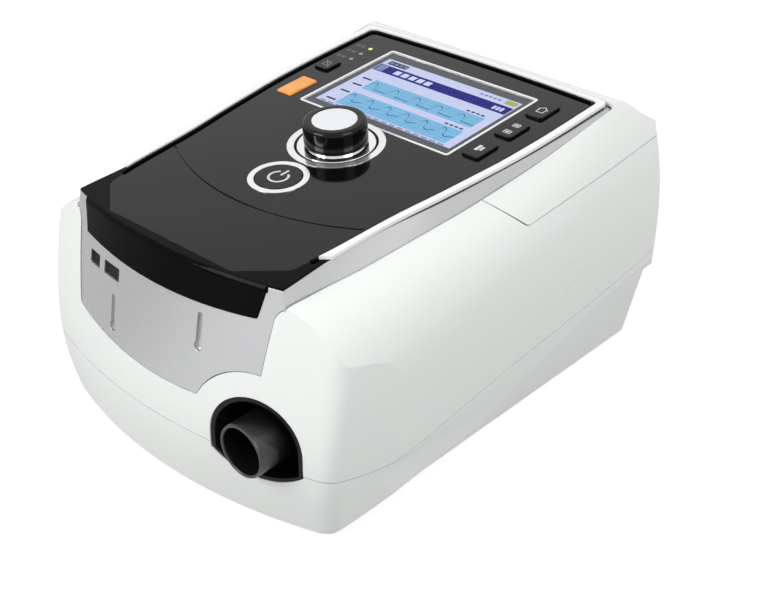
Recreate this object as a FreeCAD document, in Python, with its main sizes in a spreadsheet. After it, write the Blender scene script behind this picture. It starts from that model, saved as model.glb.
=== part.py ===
import FreeCAD, Part
import math
import os
from FreeCAD import Placement, Rotation, Vector
from Sketcher import Constraint

# Bench-top breathing-therapy machine: a blower unit with a 22 mm hose outlet, a tilted control panel
# with a screen and a push-turn dial, and a white casing in two halves with a carrying handle.
# Millimetres. +Z up, +X to the right as seen from the front, the front faces -Y.
# The origin is on the table, under the middle of the casing.

# ---------------------------------------------------------------------------------------------------
# Driving dimensions. Each is one cell of the spreadsheet, with the key as its alias.
# ---------------------------------------------------------------------------------------------------
SIZES = {
    # casing envelope
    "casing_half": 85.2,        # half width at the widest level
    "widest_z": 57.0,
    "upper_bow": 176.0,         # radius of the side above the widest level
    "lower_bow": 330.0,         # and below it
    "base_z": 1.6,              # underside above the table
    "wall": 2.4,
    "front_reach": 110.7,       # casing front, forward of the origin
    "rear_reach": 111.6,
    "front_bow": 225.0,
    "corner_round": 10.0,
    "cheek_start": 64.0,        # the sides draw in from here to the front corners
    "cheek_draft": 6.5,
    "rear_bow": 2500.0,
    "rear_round": 5.0,
    "rear_cheek_start": 97.0,
    "rear_draft": 1.0,
    "undercut_depth": 10.6,     # the base steps in at the rear
    "undercut_z": 37.0,
    "facet_half": 76.3,         # half width of the underside between the facets
    "seam": 0.35,               # open line between neighbouring casing pieces
    "fit": 0.15,                # clearance of a piece let into another
    "near": 0.05,               # clearance of a shaft or a seated plug
    # tilted panel frame: local X right, local Y up the slope, local Z out of the panel
    "panel_z": 109.04,
    "panel_tilt": 4.43,
    "panel_rear": 84.4,
    "panel_rear_bow": 1.6,
    "panel_corner": 3.0,
    "chassis_top": 1.0,         # upper edge of the silver sides, below the panel
    "chassis_wall": 2.2,
    "chassis_slant_wall": 2.6,
    "chassis_depth": 13.0,
    "ledge_width": 8.4,
    "plate_inset": 0.3,
    "plate_wall": 2.4,
    "bezel_thick": 3.2,
    "bezel_proud": 0.6,
    "rim_width": 1.3,
    "rim_height": 0.8,
    "trim_height": 1.5,
    "trim_under": 0.2,          # underside of the frame's brim, above the panel
    "trim_front": 75.0,
    "trim_rear": 2.4,           # width of the frame behind the panel
    "trim_tip_half": 50.0,
    "trim_tip_slant": 0.75,
    "trim_foot_inset": 0.5,
    "overlay_thick": 1.0,
    "overlay_front": 96.6,
    "overlay_chamfer_y": 84.0,
    "overlay_chamfer_x": 34.0,
    "groove_radius": 105.0,
    "groove_y": 61.9,
    "groove_width": 0.8,
    "groove_depth": 0.4,
    "control_x": -0.2,          # centre line of the screen and the power button
    # lip over the front edge
    "lip_half": 47.5,
    "lip_top_half": 50.2,
    "lip_low_z": 86.2,
    "lip_rise": 2.2,
    "lip_roll": 3.0,
    "lip_wall": 2.0,
    # docking plate
    "plate_foot_half": 51.5,
    "plate_side_half": 54.2,
    "plate_corner_half": 58.6,  # the rounded upper corners reach out to the silver sides
    "plate_corner_low": 87.6,
    "plate_corner_high": 94.6,
    "corner_back": 91.0,        # the casing's front wall ends before this
    "corner_z": 93.4,
    "plate_left_z": 55.6,
    "plate_mid_z": 50.0,
    "arch_x": 50.4,
    "arch_z": 37.4,
    "arch_radius": 29.6,
    "slot_width": 2.4,
    "slot_length": 14.6,
    "slot_deep": 1.4,
    "slot_left_x": -26.4,
    "slot_left_z": 56.2,
    "slot_right_x": 22.9,
    "slot_right_z": 68.0,
    "slot_eye": 1.9,
    "socket_z": 76.7,
    "socket_height": 5.5,
    "socket_small_width": 7.2,
    "socket_small_x": -44.8,
    "socket_large_width": 10.5,
    "socket_large_x": -34.0,
    "socket_sunk": 0.9,
    # air outlet
    "cup_radius": 19.9,
    "cup_foot_z": 29.6,
    "cup_sag": 7.1,
    "cup_wall": 1.8,
    "cup_back": 86.0,
    "spigot_x": 50.6,
    "spigot_z": 38.6,
    "spigot_reach": 111.6,
    "spigot_radius": 11.0,
    "spigot_bore": 9.6,
    "spigot_lead": 0.8,
    "spigot_shoulder": 11.6,    # radius where it passes the recess wall
    "flange_radius": 15.0,
    "flange_thick": 1.6,
    "gasket_thick": 1.0,
    "spigot_inner_end": 58.0,
    "duct_radius": 11.4,
    # screen
    "screen_y": 43.2,
    "screen_width": 83.0,
    "screen_depth": 60.5,
    "screen_line": 1.1,
    "screen_round": 1.5,
    "line_proud": 0.15,
    "active_width": 75.6,
    "active_depth": 48.8,
    "lcd_width": 82.0,
    "lcd_depth": 56.0,
    "lcd_low": 7.0,
    # dial
    "dial_x": -1.1,
    "dial_y": -6.1,
    "dial_ring_outer": 20.2,
    "dial_ring_inner": 17.3,
    "dial_flange_radius": 16.2,
    "dial_flange_top": 0.3,
    "dial_collar_radius": 12.3,
    "dial_collar_top": 2.0,
    "dial_gap": 0.9,
    "dial_radius": 13.2,
    "dial_top": 11.2,
    "dial_round": 1.6,
    "dial_cap_radius": 9.3,
    "dial_cap_sunk": 0.8,
    "shaft_radius": 3.0,
    "shaft_low": 5.0,
    "shaft_top": 8.6,
    "encoder_width": 12.4,
    # power button
    "power_y": -39.8,
    "power_outer": 12.3,
    "power_inner": 9.85,
    # keys
    "key_gap": 3.6,             # between the screen and the keys
    "key_y": 44.8,
    "key_pitch": 20.6,
    "key_width": 8.6,
    "key_depth": 14.0,
    "key_round": 1.6,
    "mute_x": -55.0,
    "mute_y": 44.6,
    "mute_width": 8.0,
    "mute_depth": 10.0,
    "button_gap": 0.3,
    "button_proud": 0.4,
    "key_proud": 1.1,
    "alarm_proud": 0.7,
    "button_collar": 0.8,
    "collar_gap": 0.2,
    "stem_radius": 2.0,
    "stem_low": 6.2,
    "dome_radius": 3.0,
    "dome_height": 1.0,
    "alarm_gap": 5.3,           # between the screen and the alarm light
    "alarm_y": 21.4,
    "alarm_width": 8.6,
    "alarm_depth": 17.0,
    "led_x": -51.0,
    "led_y": 62.1,
    "led_pitch": 6.4,
    "led_radius": 1.0,
    "board_thick": 1.6,
    "board_half": 57.6,
    "board_top": 8.0,
    # handle at the rear
    "handle_front_z": 101.0,
    "handle_seam_z": 89.3,
    "handle_seam_rise": 0.088,
    "handle_front": 6.0,
    "handle_low_front": 17.5,
    "handle_round": 3.5,
    "pocket_half": 48.0,
    "pocket_low": 77.0,
    "pocket_front": 91.0,
    # feet and screws
    "foot_radius": 6.5,
    "foot_peg": 2.6,
    "foot_x": 62.0,
    "foot_front": -82.0,
    "foot_rear": 84.0,
    "column_x": 70.0,
    "column_front": -66.0,
    "column_rear": 66.0,
    "column_front_z": 22.0,
    "column_rear_z": 36.0,
    "column_radius": 4.5,
    "boss_height": 14.0,
    "screw_radius": 1.5,
    "screw_head": 3.0,
    "screw_head_height": 2.4,
    "screw_sunk": 2.6,
    # blower
    "blower_x": 28.6,
    "blower_y": 10.0,
    "blower_radius": 33.0,
    "blower_wall": 2.0,
    "blower_low": 14.0,
    "blower_top": 61.0,
    "blower_mouth": 11.0,
    "blower_out_end": 32.0,
    "impeller_radius": 26.0,
    "impeller_low": 36.6,
    "impeller_top": 52.0,
    "rotor_shaft": 2.0,
    "motor_radius": 17.0,
    "motor_top": 33.0,
    "mount_radius": 4.0,
    # intake
    "intake_left": 8.0,
    "intake_right": 74.0,
    "intake_front": -20.0,
    "intake_back": 7.6,         # from the rear of the casing to the intake box
    "intake_step": 50.0,
    "intake_floor": 62.0,
    "intake_low": 51.0,
    "intake_top": 73.6,
    "intake_wall": 2.0,
    "filter_left": 16.0,
    "filter_slot_margin": 8.0,
    "filter_width": 52.0,
    "filter_low": 52.5,
    "filter_height": 19.5,
    "filter_depth": 8.0,
    "seal_width": 3.0,
    # rear fittings
    "ports_z": 20.0,
    "inlet_x": -50.0,
    "inlet_width": 27.0,
    "inlet_height": 20.0,
    "switch_x": -20.0,
    "switch_width": 13.0,
    "switch_height": 19.0,
    "rocker_throw": 24.0,
    "rocker_sunk": 1.0,
    "rocker_pin": 1.2,
    "rocker_pin_reach": 0.7,
    "port_x": 12.0,
    "oxygen_x": 52.0,
    "oxygen_radius": 4.5,
    "main_board_z": 80.0,
    "post_radius": 3.2,
    "post_screw": 1.2,
}

# Front profile: how far the front sits back from its foremost line at each level.
FRONT_SETBACK = ((-8, 7.6), (1.6, 4.8), (15, 1.7), (30, 0.0), (50, 1.1), (68, 3.9), (86, 7.4),
                 (101, 10.2), (128, 15.5))
# Crown of the casing beside the panel: (y, half width and level of its inner edge, level of the knee).
CROWN = ((-130, 53.2, 92.6, 56.0), (-108, 55.0, 94.3, 59.0), (-86, 57.2, 96.2, 62.0),
         (-66, 58.8, 97.9, 64.8), (-47, 60.4, 99.6, 67.5), (-17, 63.4, 102.0, 71.7),
         (15, 66.1, 105.3, 76.3), (35, 67.4, 108.5, 79.0), (52, 68.2, 111.6, 81.5),
         (66, 68.8, 114.2, 83.5), (77, 69.1, 116.2, 84.8), (88, 69.2, 117.4, 85.7),
         (100, 69.2, 117.6, 86.0), (112, 69.2, 117.6, 86.0), (130, 69.2, 117.6, 86.0))
# Profile of the rear deck over the handle, behind the panel: (y, z).
DECK = ((-130, 92.6), (-108, 94.3), (-86, 96.2), (-66, 97.9), (-47, 99.6), (-17, 102.0), (15, 105.3),
        (35, 108.5), (52, 111.6), (66, 114.2), (77, 116.2), (88, 117.3), (94, 115.6), (99, 111.4),
        (104, 107.7), (111.6, 103.0), (130, 91.8))
# Joint line between base and upper casing, seen from the side: (y, z).
JOINT_LINE = ((-125, 29.8), (-96, 29.6), (-86, 27.2), (-74, 24.6), (-60, 24.0), (-40, 26.2), (0, 32.0),
              (37, 36.0), (66, 39.2), (96, 43.5), (125, 48.5))
# Upper edge of the undercut facet along the foot of the base: (y, z).
FACET_LINE = ((-130, 4.2), (-91, 4.7), (-40, 8.5), (-16, 11.0), (13, 21.0), (62, 34.5), (130, 45.0))
# Silver sides in the panel's frame: y, half width at their upper edge, half width and level where
# they meet the casing.
CHASSIS_BAND = ((-130, 54.0, 55.2, -7.6), (-112, 55.9, 56.9, -8.0), (-97, 56.7, 58.0, -8.2),
                (-86, 56.5, 59.2, -8.5), (-76, 56.0, 60.2, -8.8), (-61, 55.9, 62.0, -9.4),
                (-51, 56.6, 62.8, -9.4), (-39, 57.9, 63.7, -8.9), (-20, 61.0, 65.0, -8.1),
                (-6, 62.8, 66.0, -7.7), (3.5, 63.7, 66.5, -7.2), (17, 64.8, 67.3, -6.5),
                (32, 66.0, 68.3, -5.1), (50, 66.9, 69.2, -3.8), (77, 67.2, 70.0, -1.95),
                (92, 67.2, 70.2, -2.1))
CHASSIS_EDGE = [(y, edge) for y, edge, _, _ in CHASSIS_BAND[:-1]]
CHASSIS_SIDE = [(y, half) for y, _, half, _ in CHASSIS_BAND[:-1]]
# Half widths of the white frame along the panel: (y, half width).
TRIM_OUTER = ((-112, 54.5), (-85, 56.8), (-68, 57.6), (-53, 58.1), (-38, 59.2), (-15, 62.0), (1, 63.8),
              (17, 65.4), (29, 66.3), (41, 66.8), (54, 67.1), (77, 67.1))
TRIM_INNER = ((-130, 47.6), (-112, 49.2), (-80, 52.6), (-72, 53.7), (-57, 55.0), (-34.5, 56.6),
              (-11.7, 59.5),
              (4.5, 61.2), (20.7, 62.8), (32.8, 63.4), (45, 63.8), (58.6, 63.9), (77, 63.8))

# Pillars for the main board, from the middle: (x, y).
LEDGE_POST_FRONT = (51.5, -66.0)
LEDGE_POST_REAR = (64.0, 64.0)

doc = FreeCAD.newDocument("TherapyUnit")
sheet = doc.addObject("Spreadsheet::Sheet", "Dims")
NODES = {}


def fill_sheet():
    for row, (name, value) in enumerate(SIZES.items(), start=1):
        sheet.set(f"A{row}", name.replace("_", " "))
        sheet.set(f"B{row}", str(value))
        sheet.setAlias(f"B{row}", name)
    doc.recompute()


class Size:
    """A number together with the expression it comes from, so that properties can be bound to it."""

    def __init__(self, value, text):
        self.value = value
        self.text = text

    def __add__(self, other):
        other = size(other)
        return Size(self.value + other.value, f"({self.text} + {other.text})")

    def __sub__(self, other):
        other = size(other)
        return Size(self.value - other.value, f"({self.text} - {other.text})")

    def __mul__(self, other):
        other = size(other)
        return Size(self.value * other.value, f"({self.text} * {other.text})")

    def __truediv__(self, other):
        other = size(other)
        return Size(self.value / other.value, f"({self.text} / {other.text})")

    def __radd__(self, other):
        return size(other) + self

    def __rsub__(self, other):
        return size(other) - self

    def __rmul__(self, other):
        return size(other) * self

    def __neg__(self):
        return Size(-self.value, f"(-1 * {self.text})")


def size(value):
    return value if isinstance(value, Size) else Size(float(value), repr(float(value)))


class Sheet:
    """Reads the sheet by alias: plain numbers from D, bindable sizes from S."""

    def __init__(self, bound):
        self.bound = bound

    def __getattr__(self, name):
        value = float(sheet.get(name))
        return Size(value, f"Dims.{name}") if self.bound else value


D = Sheet(False)
S = Sheet(True)


def rear_wall(sheet):
    """Rear face of the base, in the undercut."""
    return sheet.rear_reach - sheet.undercut_depth


def intake_rear():
    return D.rear_reach - D.intake_back


def key_x(sheet):
    return sheet.control_x + sheet.screen_width / 2 + sheet.key_gap + sheet.key_width / 2


def alarm_x(sheet):
    return sheet.control_x - sheet.screen_width / 2 - sheet.alarm_gap - sheet.alarm_width / 2


def register(label, obj):
    obj.Label = label
    NODES[label] = obj
    return obj


def feature(label, shape):
    """A sub-part whose free-form shape comes from Part's own functions."""
    obj = doc.addObject("Part::Feature", label)
    obj.Shape = shape
    return register(label, obj)


def panel_frame():
    return Placement(Vector(0, 0, D.panel_z), Rotation(Vector(1, 0, 0), D.panel_tilt))


def panel_feature(label, shape):
    """A free-form sub-part drawn in the panel's own frame."""
    obj = feature(label, shape)
    return lay_on_panel(obj)


def lay_on_panel(obj):
    obj.Placement = panel_frame()
    obj.setExpression("Placement.Base.z", S.panel_z.text)
    return obj


def on_panel(shape):
    """A copy of a shape drawn in the panel's own frame, moved to its place on the machine."""
    moved = shape.copy()
    moved.transformShape(panel_frame().toMatrix(), True)
    return moved


# ---------------------------------------------------------------------------------------------------
# Bound primitives, booleans, sketches and bodies
# ---------------------------------------------------------------------------------------------------
def bind(obj, **values):
    for path, value in values.items():
        obj.setExpression(path.replace("_", "."), size(value).text)
    return obj


def put(obj, x, y, z):
    for axis, value in (("x", x), ("y", y), ("z", z)):
        obj.setExpression(f"Placement.Base.{axis}", size(value).text)
    return obj


def rod(radius, low, high, x=0, y=0):
    """Upright cylinder."""
    obj = bind(doc.addObject("Part::Cylinder", "Rod"), Radius=radius, Height=size(high) - low)
    return put(obj, x, y, low)


def rod_y(radius, near, far, x, z):
    """Cylinder lying along Y."""
    obj = bind(doc.addObject("Part::Cylinder", "RodY"), Radius=radius, Height=size(far) - near)
    obj.Placement.Rotation = Rotation(Vector(1, 0, 0), -90)
    return put(obj, x, near, z)


def rod_x(radius, left, right, y, z):
    """Cylinder lying along X."""
    obj = bind(doc.addObject("Part::Cylinder", "RodX"), Radius=radius, Height=size(right) - left)
    obj.Placement.Rotation = Rotation(Vector(0, 1, 0), 90)
    return put(obj, left, y, z)


def box(left, right, near, far, low, high):
    obj = doc.addObject("Part::Box", "Box")
    bind(obj, Length=size(right) - left, Width=size(far) - near, Height=size(high) - low)
    return put(obj, left, near, low)


def fuse(*parts):
    obj = doc.addObject("Part::MultiFuse", "Fuse")
    obj.Shapes = list(parts)
    return obj


def cut(base, *tools):
    obj = doc.addObject("Part::Cut", "Cut")
    obj.Base = base
    obj.Tool = tools[0] if len(tools) == 1 else fuse(*tools)
    return obj


def group(*parts):
    """Separate solids of one kind that share a node."""
    obj = doc.addObject("Part::Compound", "Group")
    obj.Links = list(parts)
    return obj


def tube(outer, inner, low, high, x=0, y=0):
    return cut(rod(outer, low, high, x, y), rod(inner, size(low) - 1, size(high) + 1, x, y))


def new_body(label):
    return register(label, doc.addObject("PartDesign::Body", label))


def new_sketch(body, role="XY_Plane", offset=None):
    sketch = body.newObject("Sketcher::SketchObject", "Sketch")
    plane = [item for item in body.Origin.OriginFeatures if item.Role == role][0]
    sketch.AttachmentSupport = [(plane, "")]
    sketch.MapMode = "FlatFace"
    if offset is not None:
        sketch.setExpression("AttachmentOffset.Base.z", size(offset).text)
    return sketch


def constrain(sketch, kind, *args):
    """A dimension whose last argument is a size; it stays bound to the sheet."""
    *where, value = args
    value = size(value)
    index = sketch.addConstraint(Constraint(kind, *where, value.value))
    sketch.setExpression(f"Constraints[{index}]", value.text)


def locate(sketch, item, end, x, y):
    """Fix a point of the sketch from the origin."""
    for kind, value, axis in (("DistanceX", size(x), -2), ("DistanceY", size(y), -1)):
        if value.value == 0:
            sketch.addConstraint(Constraint("PointOnObject", item, end, axis))
        else:
            constrain(sketch, kind, -1, 1, item, end, value)


def draw_circle(sketch, radius, x=0, y=0):
    centre = Vector(size(x).value, size(y).value, 0)
    item = sketch.addGeometry(Part.Circle(centre, Vector(0, 0, 1), size(radius).value))
    constrain(sketch, "Radius", item, radius)
    locate(sketch, item, 3, x, y)


def draw_polygon(sketch, corners):
    """Closed polygon with every corner tied to the sheet."""
    points = [Vector(size(x).value, size(y).value, 0) for x, y in corners]
    items = []
    for i, point in enumerate(points):
        items.append(sketch.addGeometry(Part.LineSegment(point, points[(i + 1) % len(points)])))
    for i, item in enumerate(items):
        sketch.addConstraint(Constraint("Coincident", item, 2, items[(i + 1) % len(items)], 1))
    for item, (x, y) in zip(items, corners):
        locate(sketch, item, 1, x, y)


def draw_rounded(sketch, x, y, width, depth, radius):
    """Rounded rectangle about a centre."""
    x, y, width, depth, radius = (size(v) for v in (x, y, width, depth, radius))
    a, b = (x - width / 2).value, (x + width / 2).value
    c, d = (y - depth / 2).value, (y + depth / 2).value
    r = radius.value
    up = Vector(0, 0, 1)
    quarter = math.pi / 2

    def arc(cx, cy, start):
        return Part.ArcOfCircle(Part.Circle(Vector(cx, cy, 0), up, r), start, start + quarter)

    def line(x1, y1, x2, y2):
        return Part.LineSegment(Vector(x1, y1, 0), Vector(x2, y2, 0))

    shapes = [line(a + r, c, b - r, c), arc(b - r, c + r, -quarter), line(b, c + r, b, d - r),
              arc(b - r, d - r, 0), line(b - r, d, a + r, d), arc(a + r, d - r, quarter),
              line(a, d - r, a, c + r), arc(a + r, c + r, 2 * quarter)]
    ids = [sketch.addGeometry(shape) for shape in shapes]
    for i in range(8):
        sketch.addConstraint(Constraint("Tangent", ids[i], 2, ids[(i + 1) % 8], 1))
    for i in (0, 4):
        sketch.addConstraint(Constraint("Horizontal", ids[i]))
    for i in (2, 6):
        sketch.addConstraint(Constraint("Vertical", ids[i]))
    for i in (3, 5, 7):
        sketch.addConstraint(Constraint("Equal", ids[1], ids[i]))
    constrain(sketch, "Radius", ids[1], radius)
    constrain(sketch, "DistanceX", ids[6], 1, ids[2], 1, width)
    constrain(sketch, "DistanceY", ids[0], 1, ids[4], 1, depth)
    constrain(sketch, "DistanceX", -1, 1, ids[2], 1, x + width / 2)
    constrain(sketch, "DistanceY", -1, 1, ids[4], 1, y + depth / 2)


def pad(body, sketch, length):
    item = body.newObject("PartDesign::Pad", "Pad")
    item.Profile = sketch
    item.setExpression("Length", size(length).text)
    body.Tip = item
    return item


def pocket_cut(body, sketch, length):
    """Cuts upwards from the sketch, along its normal."""
    item = body.newObject("PartDesign::Pocket", "Pocket")
    item.Profile = sketch
    item.Reversed = True
    item.setExpression("Length", size(length).text)
    body.Tip = item
    return item


def revolve(label, corners):
    """Body turned about its own Z axis from (radius, level) corners."""
    body = new_body(label)
    sketch = new_sketch(body, "XZ_Plane")
    draw_polygon(sketch, corners)
    item = body.newObject("PartDesign::Revolution", "Revolution")
    item.Profile = sketch
    item.ReferenceAxis = (sketch, ["V_Axis"])
    item.Angle = 360
    body.Tip = item
    return body


def padded(label, outline, low, high, *args):
    """Body padded from one drawn outline between two levels."""
    body = new_body(label)
    sketch = new_sketch(body, offset=low)
    outline(sketch, *args)
    pad(body, sketch, size(high) - low)
    return body


def add_pad(body, outline, low, high, *args):
    sketch = new_sketch(body, offset=low)
    outline(sketch, *args)
    pad(body, sketch, size(high) - low)


def add_cut(body, outline, low, high, *args):
    sketch = new_sketch(body, offset=low)
    outline(sketch, *args)
    pocket_cut(body, sketch, size(high) - low)


# ---------------------------------------------------------------------------------------------------
# Outlines and surfaces
# ---------------------------------------------------------------------------------------------------
def rounded(corners, plane="xy", level=0.0):
    """A face from corner points (a, b, radius), drawn on a plane at a level."""
    def point(v):
        return {"xy": Vector(v.x, v.y, level), "xz": Vector(v.x, level, v.y),
                "yz": Vector(level, v.x, v.y)}[plane]

    runs = []
    for i, (a, b, radius) in enumerate(corners):
        here = Vector(a, b, 0)
        before = (Vector(*corners[i - 1][:2], 0) - here).normalize()
        after = (Vector(*corners[(i + 1) % len(corners)][:2], 0) - here).normalize()
        if not radius:
            runs.append([here])
            continue
        half = before.getAngle(after) / 2
        reach = radius / math.tan(half)
        bisector = (before + after).normalize()
        middle = here + bisector * (radius / math.sin(half) - radius)
        runs.append([here + before * reach, middle, here + after * reach])
    edges = []
    for i, run in enumerate(runs):
        if len(run) == 3:
            edges.append(Part.Arc(*[point(p) for p in run]).toShape())
        start, end = point(run[-1]), point(runs[(i + 1) % len(runs)][0])
        if (end - start).Length > 1e-6:
            edges.append(Part.makeLine(start, end))
    return Part.Face(Part.Wire(edges))


def rectangle(cx, cy, width, depth, radius):
    x, y = width / 2, depth / 2
    return [(cx - x, cy - y, radius), (cx + x, cy - y, radius), (cx + x, cy + y, radius),
            (cx - x, cy + y, radius)]


def slab(corners, low, high):
    """A rounded outline on XY, from one level to another."""
    return rounded(corners, "xy", low).extrude(Vector(0, 0, high - low))


def disc(radius, cx, cy, low, high):
    return Part.makeCylinder(radius, high - low, Vector(cx, cy, low))


def prism(x0, x1, y0, y1, z0, z1):
    return Part.makeBox(x1 - x0, y1 - y0, z1 - z0, Vector(x0, y0, z0))


def arc_edge(a, b, c):
    return Part.Arc(Vector(*a), Vector(*b), Vector(*c)).toShape()


def line_edge(a, b):
    return Part.makeLine(Vector(*a), Vector(*b))


def spline(points):
    curve = Part.BSplineCurve()
    curve.interpolate([Vector(*p) for p in points])
    return curve


def surface(rows):
    """Smooth surface through a grid of points."""
    grid = Part.BSplineSurface()
    grid.interpolate([[Vector(*p) for p in row] for row in rows])
    return grid.toShape()


def mirrored(shape):
    return shape.mirror(Vector(0, 0, 0), Vector(1, 0, 0))


# ---------------------------------------------------------------------------------------------------
# Casing envelope. Each surface can be set in by a wall thickness.
# ---------------------------------------------------------------------------------------------------
def side_half(z, inset=0.0):
    bow = D.upper_bow if z > D.widest_z else D.lower_bow
    return D.casing_half - inset - (bow - math.sqrt(bow ** 2 - (z - D.widest_z) ** 2))


def side_points(y, half, level, knee, inset):
    """Section of one side: the two bows up to the knee, then the shoulder arc over the crown's edge."""
    points = [Vector(side_half(z, inset), y, z) for z in (-8, 8, 24, 40, 52)]
    for part in (0.35, 0.7):
        z = 52 + (knee - 52) * part
        points.append(Vector(side_half(z, inset), y, z))
    bow_centre = Vector(D.casing_half - D.upper_bow, y, D.widest_z)
    on_knee = Vector(side_half(knee), y, knee)
    outward = (on_knee - bow_centre).normalize()
    edge = Vector(half, y, level)
    span = on_knee - edge
    radius = span.dot(span) / (2 * outward.dot(span))
    centre = on_knee - outward * radius
    start = math.atan2(outward.z, outward.x)
    end = math.atan2(edge.z - centre.z, edge.x - centre.x)
    for step in range(9):
        angle = start + (end - start) * step / 7
        points.append(centre + Vector(math.cos(angle), 0, math.sin(angle)) * (radius - inset))
    return points


def side_outside(inset):
    """Everything beyond the right side of the casing."""
    rows = [side_points(*station, inset) for station in CROWN]
    return surface(rows).extrude(Vector(60, 0, 0))


def deck_below(inset):
    """Everything under the crown and the rear deck."""
    points = [(-150, y, z - inset) for y, z in DECK]
    low = -20
    edges = [spline(points).toShape(), line_edge(points[-1], (-150, points[-1][1], low)),
             line_edge((-150, points[-1][1], low), (-150, points[0][1], low)),
             line_edge((-150, points[0][1], low), points[0])]
    return Part.Face(Part.Wire(edges)).extrude(Vector(300, 0, 0))


def front_block(inset):
    """Everything behind the bowed front."""
    rows = []
    bow = D.front_bow - inset
    for z, setback in FRONT_SETBACK:
        y = -D.front_reach + setback + inset
        rows.append([(x, y + bow - math.sqrt(bow ** 2 - x ** 2), z) for x in range(-110, 111, 20)])
    return surface(rows).extrude(Vector(0, 300, 0))


def cheek_outside(inset):
    """Everything beyond the right cheek, which draws in towards the front corner."""
    slope = math.tan(math.radians(D.cheek_draft))
    rows = []
    for z in (-8, 10, 30, 50, 70, 90, 128):
        half = side_half(min(z, 100)) - inset
        rows.append([(half - slope * (-D.cheek_start - y), y, z) for y in (-150, -110, -70, -30)])
    return surface(rows).extrude(Vector(60, 0, 0))


def rear_outside(inset):
    """Everything beyond the right rear cheek."""
    slope = math.tan(math.radians(D.rear_draft))
    rows = []
    for z in (-8, 10, 30, 50, 70, 90, 128):
        half = side_half(min(z, 100)) - inset
        rows.append([(half - slope * (y - D.rear_cheek_start), y, z) for y in (150, 120, 90, 60)])
    return surface(rows).extrude(Vector(60, 0, 0))


def plan_block(inset):
    """Plan shape of the casing, with the four upright corners rounded."""
    body = front_block(inset)
    bow = D.rear_bow - inset
    rear = Part.makeCylinder(bow, 300, Vector(0, D.rear_reach - inset - bow, -100))
    body = body.common(rear).common(prism(-120, 120, -150, 150, -7, 127))
    for tool in (cheek_outside(inset), rear_outside(inset)):
        body = body.cut(tool).cut(mirrored(tool))
    front, rear = [], []
    for edge in body.Edges:
        box = edge.BoundBox
        if box.ZLength > 100 and abs(box.Center.x) > 60:
            (front if box.Center.y < 0 else rear).append(edge)
    body = body.makeFillet(D.corner_round - inset, front)
    rear = [edge for edge in body.Edges if edge.BoundBox.ZLength > 100 and edge.BoundBox.Center.y > 60
            and abs(edge.BoundBox.Center.x) > 60]
    return body.makeFillet(D.rear_round - inset, rear)


def facet_cutter(inset):
    """Cuts the undercut facet along the right side of the base."""
    wires = []
    for y, z in FACET_LINE:
        low = Vector(D.facet_half - inset, y, D.base_z + inset)
        crease = Vector(side_half(z, inset), y, z + inset)
        lean = (crease - low).normalize()
        high = low + lean * (crease.z - low.z + 12)
        low = low - lean * 8
        far = D.casing_half + 30
        corners = [low, high, Vector(far, y, high.z), Vector(far, y, low.z)]
        wires.append(Part.makePolygon(corners + corners[:1]))
    return Part.makeLoft(wires, True, True)


def hull(inset):
    body = plan_block(inset).common(deck_below(inset))
    side = side_outside(inset)
    facet = facet_cutter(inset)
    for tool in (side, mirrored(side), facet, mirrored(facet)):
        body = body.cut(tool)
    body = body.cut(prism(-150, 150, -150, 150, -30, D.base_z + inset))
    return body.cut(prism(-150, 150, rear_wall(D) - inset, 150, -30, D.undercut_z + inset))


def above_joint(lift):
    """Everything above the joint line, raised by lift."""
    points = [(-150, y, z + lift) for y, z in JOINT_LINE]
    top = 200
    start, end = points[0], points[-1]
    edges = [spline(points).toShape(), line_edge(end, (-150, end[1], top)),
             line_edge((-150, end[1], top), (-150, start[1], top)), line_edge((-150, start[1], top), start)]
    return Part.Face(Part.Wire(edges)).extrude(Vector(300, 0, 0))


# ---------------------------------------------------------------------------------------------------
# Panel outlines, in the panel's own frame
# ---------------------------------------------------------------------------------------------------
def panel_face(table, grow, front, level):
    """Face with splined sides, bowed across the rear. The front is straight."""
    corner = D.panel_corner
    rear = D.panel_rear + grow
    if table is not TRIM_INNER:
        rear += D.trim_rear
    side = spline([(x + grow, y, level) for y, x in table])

    def meet(y):
        hit = side.intersectCC(Part.LineSegment(Vector(0, y, level), Vector(120, y, level)))[0]
        return side.parameter(Vector(hit.X, hit.Y, hit.Z)), hit.X

    head = rear - corner
    end_y = min(head, table[-1][0]) - 0.01
    first, start_x = meet(front)
    last, end_x = meet(end_y)
    side_edge = side.toShape(first, last)
    right = [(end_x, end_y, level), (end_x, head, level),
             (end_x - 0.29 * corner, rear - 0.29 * corner, level), (end_x - corner, rear, level)]
    left = [(-x, y, z) for x, y, z in right]
    edges = [line_edge((-start_x, front, level), (start_x, front, level)), side_edge,
             line_edge(right[0], right[1]), arc_edge(*right[1:4]),
             arc_edge(right[3], (0, rear + D.panel_rear_bow, level), left[3]),
             arc_edge(*reversed(left[1:4])), line_edge(left[1], left[0]), mirrored(side_edge)]
    return Part.Face(Part.Wire(Part.__sortEdges__(edges)))


def panel_slab(table, grow, front, low, high):
    return panel_face(table, grow, front, low).extrude(Vector(0, 0, high - low))


def band_outside(inset):
    """Everything beyond the slanted silver side on the right, in the panel's own frame."""
    upper, lower = [], []
    for y, edge, half, level in CHASSIS_BAND:
        top = Vector(edge - inset, y, -D.chassis_top)
        foot = Vector(half - inset, y, level)
        upper.append(top + (top - foot) * 0.3)
        lower.append(foot + (foot - top) * 0.15)
    face = Part.makeRuledSurface(spline(upper).toShape(), spline(lower).toShape())
    return face.extrude(Vector(20, 0, 20))


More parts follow.
